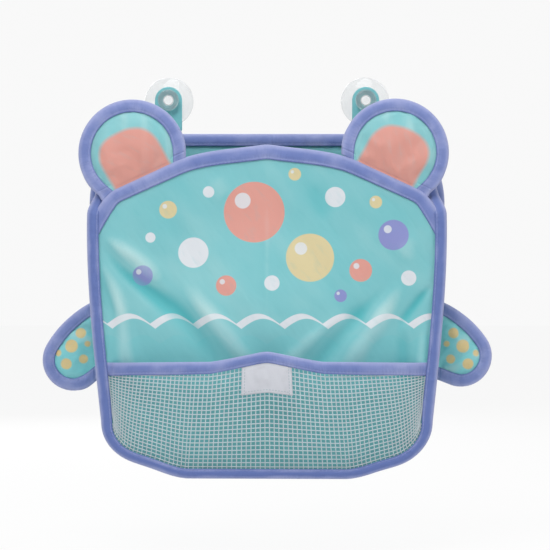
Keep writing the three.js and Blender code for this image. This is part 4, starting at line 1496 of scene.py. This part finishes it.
BACK_GRID = (80, 80)
BACK_FADE = 0.1
BACK_WAVES = (38 * MM, 57 * MM, 71 * MM)
BACK_WAVE = 0.5 * MM
BACK_SHADE = 0.2 * MM
WALL_ROWS = 60
WALL_COLUMNS = 22
WALL_FLANGE = 0.6
WALL_SAG = 5 * MM
WALL_WAVE = 1.4 * MM
WALL_WAVES = (41 * MM, 67 * MM)
WALL_SHADE = 0.6 * MM
WALL_LOW_FADE = 30 * MM
WALL_TOP_FADE = 20 * MM


class ORGANIZER_OT_back(Maker, bpy.types.Operator):
    """Makes the back panel and the side walls"""

    bl_idname = "organizer.back"
    bl_label = "Back and Sides"

    def make(self):
        sizes, cut = self.sizes, self.cut
        low = drawn_in(cut.floor(sizes.side_reveal, sizes.bottom_reveal), BACK_SEAM.inset)
        high = drawn_in(cut.back_top(), BACK_SEAM.inset)[::-1]
        flat = panel(low, high, *BACK_GRID)
        i, j = (smooth(np.minimum(part, 1 - part) / BACK_FADE) for part in shares(flat))
        wave = i * j * ripple(flat[..., 0], flat[..., 1], BACK_WAVES, 9)
        points = raised(flat, middle_depth("back_panel") + wave * BACK_WAVE)
        pattern = raised(flat, wave * BACK_SHADE)
        back = self.sheet("back_cloth", "back_panel", points, self.satin(), PANEL_CLOTH, pattern)
        for side, sign in SIDES.items():
            self.make_side(side, sign)

    def make_side(self, side, sign):
        """One side wall with its flanges in the front and back tapes."""
        sizes, cut, node = self.sizes, self.cut, f"{side}_gusset"
        bottom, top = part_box(node)[0].z, cut.shoulder + RIM_RISE - RIM_SEAM.inset
        front_z, back_z = wall_depths(node)
        between = np.linspace(0, 1, WALL_COLUMNS)
        back = np.concatenate([[0, 0], between, [1, 1]])
        flange = WALL_FLANGE * cut.web
        web = np.full(WALL_COLUMNS, cut.web)
        inset = np.concatenate([[FRONT_SEAM.inset, flange], web, [flange, BACK_SEAM.inset]])
        y, depth = crossed(np.linspace(bottom, top, WALL_ROWS), front_z + (back_z - front_z) * back)
        tuck = smooth((y - bottom) / WALL_LOW_FADE) * smooth((top - y) / WALL_TOP_FADE)
        wave = ripple(y, depth, WALL_WAVES, 3 + sign)
        sag = np.sin(math.pi * back) * tuck * (WALL_SAG + WALL_WAVE * wave)
        taper = sizes.side_taper * (cut.shoulder - y) / sizes.side_height
        out = sizes.half_width + sizes.side_reveal * back + cut.bow(y) * (1 - back) - taper - inset - sag
        points = np.stack([sign * out, y, depth - cut.lean(y) * (1 - back)], axis=-1)
        pattern = np.stack([depth, y, -wave * tuck * WALL_SHADE], axis=-1)
        wall = self.sheet(f"{side}_side_cloth", node, points, self.satin(), GUSSET_CLOTH, pattern)


MOUTH_FULL = 1.06
MOUTH_CROWN = 0.12
CROWN_START = 0.2
FRONT_FULL = 0.95
FLOOR_NARROW = 0.15
NARROW_START = 20 * MM
NARROW_RUN = 50 * MM
TUCK_MARGIN = 1 * MM
RIM_STEPS = 16


class ORGANIZER_OT_tapes(Maker, bpy.types.Operator):
    """Makes the binding tapes of the front, mouth and back, with their stitches"""

    bl_idname = "organizer.tapes"
    bl_label = "Binding Tapes"

    def make(self):
        sizes, cut = self.sizes, self.cut
        slant, plumb = [], []
        for sign in (-1, 1):
            facing = (sign * math.sin(cut.flank), math.cos(cut.flank))
            slant.append(((sign * sizes.half_width, cut.shoulder + LEAN), facing))
            plumb.insert(0, ((sign * (sizes.half_width - TUCK - TUCK_MARGIN), 0.0), (1.0, 0.0)))
        front = spaced(lengthened(cut.sides_and_floor(), LEAN), TAPE_STEP)
        lean = cut.lean(front[:, 1])
        front[:, 0] -= np.sign(front[:, 0]) * lean * LEAN_IN
        depth = (cut.front_depth - lean)[:, None]
        narrow = FRONT_FULL - FLOOR_NARROW * smooth((cut.corner + NARROW_START - front[:, 1]) / NARROW_RUN)
        shape = {"cuts": slant, "narrow": narrow}
        self.bind("front_tape", "bag", "front_binding", front, FRONT_SEAM, depth, 11, "front", **shape)
        mouth = spaced(cut.mouth(), TAPE_STEP)
        rise = (mouth[:, 1] - cut.shoulder) / sizes.mouth_rise
        shape = {"cuts": plumb, "narrow": MOUTH_FULL + MOUTH_CROWN * smooth(rise - CROWN_START)}
        depth = cut.mouth_depth
        self.bind("mouth_tape", "bag", "mouth_binding", mouth, MOUTH_SEAM, depth, 12, "mouth", **shape)
        whole = np.vstack([cut.sides_and_floor(sizes.side_reveal, sizes.bottom_reveal), cut.back_top()])
        back = spaced(whole, TAPE_STEP, closed=True)
        depth = cut.back_depth
        self.bind("back_tape", "bag", "back_binding", back, BACK_SEAM, depth, 13, "back", closed=True)
        for side, sign in SIDES.items():
            self.make_rim(side, sign)

    def make_rim(self, side, sign):
        """Tape over the top edge of a side wall."""
        sizes, cut = self.sizes, self.cut
        top = cut.shoulder + RIM_RISE
        start = cut.front_depth - FRONT_SEAM.half - cut.lean(top)
        end = cut.back_depth + BACK_SEAM.half
        line = np.linspace((start, top), (end, top), RIM_STEPS)

        def place(points):
            along, up, over = np.moveaxis(points, -1, 0)
            back = (cut.front_depth - along) / (cut.front_depth - cut.back_depth)
            taper = sizes.side_taper * (cut.shoulder - up) / sizes.side_height
            out = sizes.half_width + sizes.side_reveal * back - taper - cut.web + over
            return np.stack([sign * out, up, along], axis=-1)

        self.bind(f"{side}_rim_tape", "bag", None, line, RIM_SEAM, 0.0, 15, "rim", place)


NET_MARGIN = 0.006
POCKET_TAPE_END = 0.012
POCKET_TAPE_STEPS = 116
WIDE_FROM = 0.6
SEWN_RUN = 1.2
SEWN_START = 0.2
SEWN_FLAT = 0.55
SEWN_DEEP = 0.3 * MM
DRAIN_FLANGE = 0.12
LABEL_GRID = (33, 21)
LABEL_TUCK = 1.5 * MM
LABEL_LOOSE = 4 * MM
LABEL_WAVE = 0.12 * MM
LABEL_WAVES = (7 * MM, 11 * MM)
LABEL_SUNK = 0.45 * MM
LABEL_HEM = 2
LABEL_STITCH = 0.8


class ORGANIZER_OT_net(Maker, bpy.types.Operator):
    """Makes the net pocket with its tape, the open drain and the blank label"""

    bl_idname = "organizer.net"
    bl_label = "Net Pocket and Drain"

    def make(self):
        self.make_pocket()
        self.make_pocket_tape()
        self.make_drain()
        self.make_label()

    def make_pocket(self):
        low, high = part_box("mesh_pocket")

        def place(across, up, rise):
            return self.cut.net(NET_MARGIN + across * (1 - 2 * NET_MARGIN), up, NET_CLOTH / 2 + rise)

        net = self.netting("pocket_net", "mesh_pocket", place, high.x - low.x, high.z - low.z)

    def make_pocket_tape(self):
        sizes, cut = self.sizes, self.cut
        section = tape_section(POCKET_SEAM, sizes.tape_width)
        stops = np.linspace(POCKET_TAPE_END, 1 - POCKET_TAPE_END, POCKET_TAPE_STEPS)
        across, q = crossed(stops, section[:, 0])
        height = (cut.net(across, np.ones_like(across)) - cut.net(across, np.zeros_like(across)))[..., 1]
        wide = POCKET_NARROW + (1 - POCKET_NARROW) * smooth(np.abs(2 * across - 1) / WIDE_FROM)
        run = (across - across.min()) * 2 * sizes.half_width
        pucker = puckers(section, POCKET_SEAM, run, q, 14)
        from_end = np.minimum(across, 1 - across) * 2 * sizes.half_width
        sewn_in = 1 - smooth(from_end / (SEWN_RUN * sizes.tape_width) - SEWN_START)
        rise = section[:, 1] + np.sign(section[:, 1]) * pucker
        rise = rise * (1 - SEWN_FLAT * sewn_in) - SEWN_DEEP * sewn_in
        rings = cut.net(across, 1 - (q * wide - POCKET_SEAM.inset) / height, NET_CLOTH / 2 + rise)
        pattern = tape_pattern(section, run, q, sizes.tape_width)
        rows = tape_stitches(rings)
        self.sewn_tape("pocket_tape", "bag", "pocket_binding", rings, pattern, rows, "pocket")

    def make_drain(self):
        sizes, cut = self.sizes, self.cut
        front = spaced(cut.floor(), EDGE_STEP)
        back = spaced(cut.floor(sizes.side_reveal, sizes.bottom_reveal), EDGE_STEP)
        front_z, back_z = wall_depths("drain_gusset")

        def place(along, over, rise):
            inside = np.clip((over - DRAIN_FLANGE) / (1 - 2 * DRAIN_FLANGE), 0, 1)
            tuck = np.clip(np.minimum(over, 1 - over) / DRAIN_FLANGE, 0, 1)
            spots = []
            for line, seam in ((front, FRONT_SEAM), (back, BACK_SEAM)):
                inset = seam.inset + (cut.web - seam.inset) * tuck + rise
                spots.append(sampled(line, along) + inset[..., None] * sampled(inward(line), along))
            spot = spots[0] + (spots[1] - spots[0]) * inside[..., None]
            return raised(spot, front_z + (back_z - front_z) * inside)

        over_all = front_z - back_z + 2 * cut.web
        drain = self.netting("drain_net", "drain_gusset", place, travelled(front)[-1], over_all)

    def make_label(self):
        sizes, cut = self.sizes, self.cut
        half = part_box("mesh_pocket")[1].x
        top = 1 - (sizes.tape_width * POCKET_NARROW - LABEL_TUCK - POCKET_SEAM.inset) / cut.net_height
        low = top - (sizes.label_height + LABEL_TUCK) / cut.net_height
        middle = 0.5 + np.linspace(-0.5, 0.5, LABEL_GRID[0]) * sizes.label_width / (2 * half)
        across, up = crossed(middle, np.linspace(low, top, LABEL_GRID[1]))
        points = cut.net(across, up, NET_CLOTH + CLEARANCE + LABEL_CLOTH / 2)
        loose = smooth((top - up) * cut.net_height / LABEL_LOOSE)
        wave = ripple(points[..., 0], points[..., 1], LABEL_WAVES, 5)
        points[..., 2] += LABEL_WAVE * loose * wave - LABEL_SUNK * (1 - loose)
        cloth = self.shared("woven label", woven, self.colours.label, *LABEL_WEAVE)
        label = self.sheet("blank_label", "care_label", points, cloth, LABEL_CLOTH, slot="label")
        face = points + (0, 0, LABEL_CLOTH / 2)
        hems = (face[LABEL_HEM], face[-LABEL_HEM - 1], face[LABEL_HEM:-LABEL_HEM, LABEL_HEM])
        thread = self.shared("label thread", spun, self.colours.label_thread)
        rows = [(hem, (0, 0, 1)) for hem in hems]
        sew("label_stitches", rows, sizes.stitch * LABEL_STITCH, thread, "bag")


# Strength of the folds' painted highlight and painted shade over the prints of the ears and arms
EAR_GLOSS = 0.18
ARM_GLOSS = 0.25
EAR_SEED = 21
ARM_SEED = 31


class LimbMaker(Maker):
    """What the ears and the arms share."""

    def make_limb(self, name, edge, crown, printed, seed, drop=np.zeros_like):
        """One padded ear or arm: its pad, its edge tape and the strip across its seam."""
        joint = joints[f"{name}_fold"]
        cloths = [printed, self.satin()]
        pad = make_pad(f"{name}_pad", edge, joint, crown, cloths, self.sizes)
        dress(pad, name, "aqua_satin", f"{name}_front", f"{name}_foam", f"{name}_back")
        line = spaced(edge, TAPE_STEP)
        high = np.nonzero(line[:, 1] > TAPE_START - TAPE_STEP)[0]
        line = line[high[0]:high[-1] + 1]
        cuts = [((0.0, TAPE_START), (0.0, 1.0))] * 2
        node, place = f"{name}_binding", seat(joint)
        self.bind(f"{name}_tape", name, node, line, PAD_SEAM, 0.0, seed, "pad", place, cuts=cuts)
        fold = make_fold(f"{name}_fold", edge, joint, [*cloths, self.tape("pad")], self.sizes, drop)


class ORGANIZER_OT_ears(LimbMaker, bpy.types.Operator):
    """Makes the padded ears with their edge tapes"""

    bl_idname = "organizer.ears"
    bl_label = "Ears"

    def make(self):
        sizes = self.sizes
        for side, sign in SIDES.items():
            name = f"{side}_ear"
            coral = partial(ear_print, self.colours, sign)
            printed = self.satin(f"{side} ear satin", "ear_aqua", "aqua", coral, EAR_GLOSS)
            edge = ear_edge(sizes, getattr(sizes, f"{name}_rise"))
            drop = self.cut.droop_under(joints[f"{name}_fold"])
            self.make_limb(name, edge, sizes.ear_crown, printed, EAR_SEED, drop)


class ORGANIZER_OT_arms(LimbMaker, bpy.types.Operator):
    """Makes the padded arms with their edge tapes"""

    bl_idname = "organizer.arms"
    bl_label = "Arms"

    def make(self):
        sizes = self.sizes
        for side, sign in SIDES.items():
            name = f"{side}_arm"
            dots = partial(arm_print, self.colours, sign)
            # the arms' satin is painted paler, as painted light against the bag's shadow
            printed = self.satin(f"{side} arm satin", "arm_aqua", "ear_aqua", dots, ARM_GLOSS)
            edge = arm_edge(sizes, sign, getattr(sizes, f"{name}_sag"))
            self.make_limb(name, edge, sizes.arm_crown, printed, ARM_SEED + sign)


TAB_STEPS = 72
TAB_RINGS = 9
TAB_HOLE = 4.2 * MM
CUP_SIDES = 28
# Radius and depth round a cup, in millimetres: inside, rim, outside, neck and knob
CUP_PROFILE = (
    (0.0, 6.0), (4.0, 5.9), (8.0, 5.1), (14.0, 2.7), (17.4, 0.1), (17.9, 0.0), (19.6, 0.0), (20.0, 0.3),
    (19.9, 1.0), (16.2, 5.3), (11.2, 9.6), (7.6, 11.6), (4.2, 12.0), (3.6, 12.3), (3.6, 13.9), (3.9, 14.2),
    (7.4, 14.2), (8.3, 14.6), (8.5, 15.4), (8.5, 19.8), (8.2, 20.8), (7.2, 21.2), (3.5, 21.2), (0.0, 21.2),
)
VINYL = {"IOR": 1.46, "Transmission_Weight": 0.9}


class ORGANIZER_OT_hangers(Maker, bpy.types.Operator):
    """Makes the webbing tabs and the clear suction cups"""

    bl_idname = "organizer.hangers"
    bl_label = "Tabs and Cups"

    def make(self):
        for side in SIDES:
            self.make_tab(side)
            self.make_cup(side)

    def make_tab(self, side):
        node = f"{side}_cup_tab"
        low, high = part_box(node)
        middle, half = (low.x + high.x) / 2, (high.x - low.x) / 2
        turn = full_turn(TAB_STEPS)
        cosine, sine = np.cos(turn), np.sin(turn)
        square = np.minimum(half / np.maximum(np.abs(cosine), 1e-6), -low.z / np.maximum(-sine, 1e-6))
        reach = np.where(sine < 0, square, half)[:, None]
        radius = TAB_HOLE + (reach - TAB_HOLE) * np.linspace(0, 1, TAB_RINGS)
        flat = np.stack([middle + radius * cosine[:, None], radius * sine[:, None]], axis=-1)
        material = self.shared("webbing", woven, self.colours.webbing, *WEBBING_WEAVE)
        faces = grid_faces(TAB_STEPS, TAB_RINGS, loop=True)
        tab = make_piece(f"{side}_tab", raised(flat, middle_depth(node)), faces, material)
        thicken(tab, high.y - low.y)
        dress(tab, node, "webbing", node)

    def make_cup(self, side):
        node = f"{side}_suction_cup"
        low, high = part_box(node)
        middle = (low.x + high.x) / 2
        radius, depth = np.array(CUP_PROFILE).T * MM
        turn = full_turn(CUP_SIDES)[:, None]
        flat = np.stack([middle + np.cos(turn) * radius[1:-1], np.sin(turn) * radius[1:-1]], axis=-1)
        rings = raised(flat, depth[1:-1]).reshape(-1, 3)
        poles = [(middle, 0.0, depth[0]), (middle, 0.0, depth[-1])]
        count, start = len(radius) - 2, len(rings)
        faces = [list(face) for face in grid_faces(CUP_SIDES, count, loop=True)]
        for k in range(CUP_SIDES):
            after = (k + 1) % CUP_SIDES
            faces.append([start, after * count, k * count])
            faces.append([start + 1, k * count + count - 1, after * count + count - 1])
        material = self.shared("clear vinyl", clear_vinyl, self.colours, **VINYL)
        cup = make_piece(f"{side}_cup", np.vstack([rings, poles]), faces, material)
        turn_out(cup)
        finer = cup.modifiers.new("round", "SUBSURF")
        finer.levels = finer.render_levels = 2
        dress(cup, node, "clear_vinyl", node)


CAMERA_DISTANCE = 1.8
CAMERA_MIDDLE = (0.0064, -0.1416)
VIEW_WIDTH = 0.4345
SENSOR = 36
CLIP = (0.1, 50)
FLOOR_GAP = 0.06
FLOOR_HALF = 8.0
FLOOR_GLOW = 0.9
WORLD_LIGHT = 0.38
BACKDROP = 0.945
# Place, size and power of each lamp
LAMPS = {
    "key": ((-0.4, -1.35, 1.1), 0.9, 16.5),
    "fill": ((1.45, -1.1, 0.05), 1.2, 6.0),
    "top": ((0.1, -0.2, 1.2), 1.0, 6.0),
    "rear": ((-0.5, 1.3, 0.5), 1.2, 12.0),
}
LAMP_AIM = Vector((0, -0.04, -0.16))


class ORGANIZER_OT_stage(Maker, bpy.types.Operator):
    """Makes the pale floor, the soft studio light and the camera"""

    bl_idname = "organizer.stage"
    bl_label = "Stage"

    def make(self):
        self.make_floor()
        self.make_world()
        for name, (place, size, power) in LAMPS.items():
            self.make_lamp(name, place, size, power)
        self.make_camera()

    def make_floor(self):
        level = cad_low.z - FLOOR_GAP
        corners = [(x * FLOOR_HALF, y * FLOOR_HALF, level) for x, y in ((-1, -1), (1, -1), (1, 1), (-1, 1))]
        mesh = bpy.data.meshes.new("floor")
        mesh.from_pydata(corners, [], [[0, 1, 2, 3]])
        floor = bpy.data.objects.new("floor", mesh)
        bpy.context.scene.collection.objects.link(floor)
        material = bpy.data.materials.new("pale floor")
        material.use_nodes = True
        shading = Shading(material.node_tree)
        material.node_tree.nodes.clear()
        matt = shading.add("ShaderNodeBsdfDiffuse", {"Color": self.colours.floor})
        glow = shading.add("ShaderNodeEmission", {"Color": (1, 1, 1), "Strength": 1.0})
        shown = self.seen_directly(shading) * FLOOR_GLOW
        surface = shading.add("ShaderNodeMixShader", {0: shown, 1: matt, 2: glow})
        shading.add("ShaderNodeOutputMaterial", {"Surface": surface}, ())
        mesh.materials.append(material)

    def seen_directly(self, shading):
        """1 on rays from the camera, mirrors and clear pieces, 0 on the light that reaches cloth."""
        rays = ("Is Camera Ray", "Is Glossy Ray", "Is Transmission Ray")
        camera, glossy, through = shading.add("ShaderNodeLightPath", out=rays)
        return camera.at_least(glossy).at_least(through)

    def make_world(self):
        world = bpy.data.worlds.new("studio")
        bpy.context.scene.world = world
        world.use_nodes = True
        shading = Shading(world.node_tree)
        world.node_tree.nodes.clear()
        light, backdrop = (
            shading.add("ShaderNodeBackground", {"Color": (1, 1, 1), "Strength": strength})
            for strength in (WORLD_LIGHT, BACKDROP)
        )
        both = shading.add("ShaderNodeMixShader", {0: self.seen_directly(shading), 1: light, 2: backdrop})
        shading.add("ShaderNodeOutputWorld", {"Surface": both}, ())

    def make_lamp(self, name, place, size, power):
        lamp = bpy.data.lights.new(name, "AREA")
        lamp.energy = power
        lamp.size = size
        holder = bpy.data.objects.new(name, lamp)
        holder.location = place
        holder.visible_transmission = False
        aim = LAMP_AIM - holder.location
        holder.rotation_euler = aim.to_track_quat("-Z", "Y").to_euler()
        bpy.context.scene.collection.objects.link(holder)

    def make_camera(self):
        lens = bpy.data.cameras.new("camera")
        lens.sensor_width = SENSOR
        lens.lens = SENSOR * (CAMERA_DISTANCE - self.cut.mouth_depth) / VIEW_WIDTH
        lens.clip_start, lens.clip_end = CLIP
        camera = bpy.data.objects.new("camera", lens)
        camera.location = (CAMERA_MIDDLE[0], -CAMERA_DISTANCE, CAMERA_MIDDLE[1])
        camera.rotation_euler = (math.pi / 2, 0, 0)
        bpy.context.scene.collection.objects.link(camera)
        bpy.context.scene.camera = camera
        bpy.context.scene.view_settings.view_transform = "Standard"


class ORGANIZER_PT_panel(bpy.types.Panel):
    """Lists the organizer's pieces, sizes and colours"""

    bl_idname = "ORGANIZER_PT_panel"
    bl_label = "Bath Toy Organizer"
    bl_space_type = "VIEW_3D"
    bl_region_type = "UI"
    bl_category = "Organizer"

    def draw(self, context):
        for operator in MAKERS:
            self.layout.operator(operator.bl_idname)
        for group in (context.scene.organizer_sizes, context.scene.organizer_colours):
            box = self.layout.box()
            for name in group.bl_rna.properties.keys():
                if name not in ("rna_type", "name"):
                    box.prop(group, name)


MAKERS = (
    ORGANIZER_OT_stage,
    ORGANIZER_OT_front,
    ORGANIZER_OT_back,
    ORGANIZER_OT_tapes,
    ORGANIZER_OT_net,
    ORGANIZER_OT_ears,
    ORGANIZER_OT_arms,
    ORGANIZER_OT_hangers,
)
CLASSES = (OrganizerSizes, OrganizerColours, *MAKERS, ORGANIZER_PT_panel)


def register():
    for kind in CLASSES:
        bpy.utils.register_class(kind)
    bpy.types.Scene.organizer_sizes = bpy.props.PointerProperty(type=OrganizerSizes)
    bpy.types.Scene.organizer_colours = bpy.props.PointerProperty(type=OrganizerColours)


def unregister():
    del bpy.types.Scene.organizer_colours
    del bpy.types.Scene.organizer_sizes
    for kind in reversed(CLASSES):
        bpy.utils.unregister_class(kind)


def main():
    register()
    for maker in MAKERS:
        getattr(bpy.ops.organizer, maker.bl_idname.split(".")[1])()


if __name__ == "__main__":
    main()
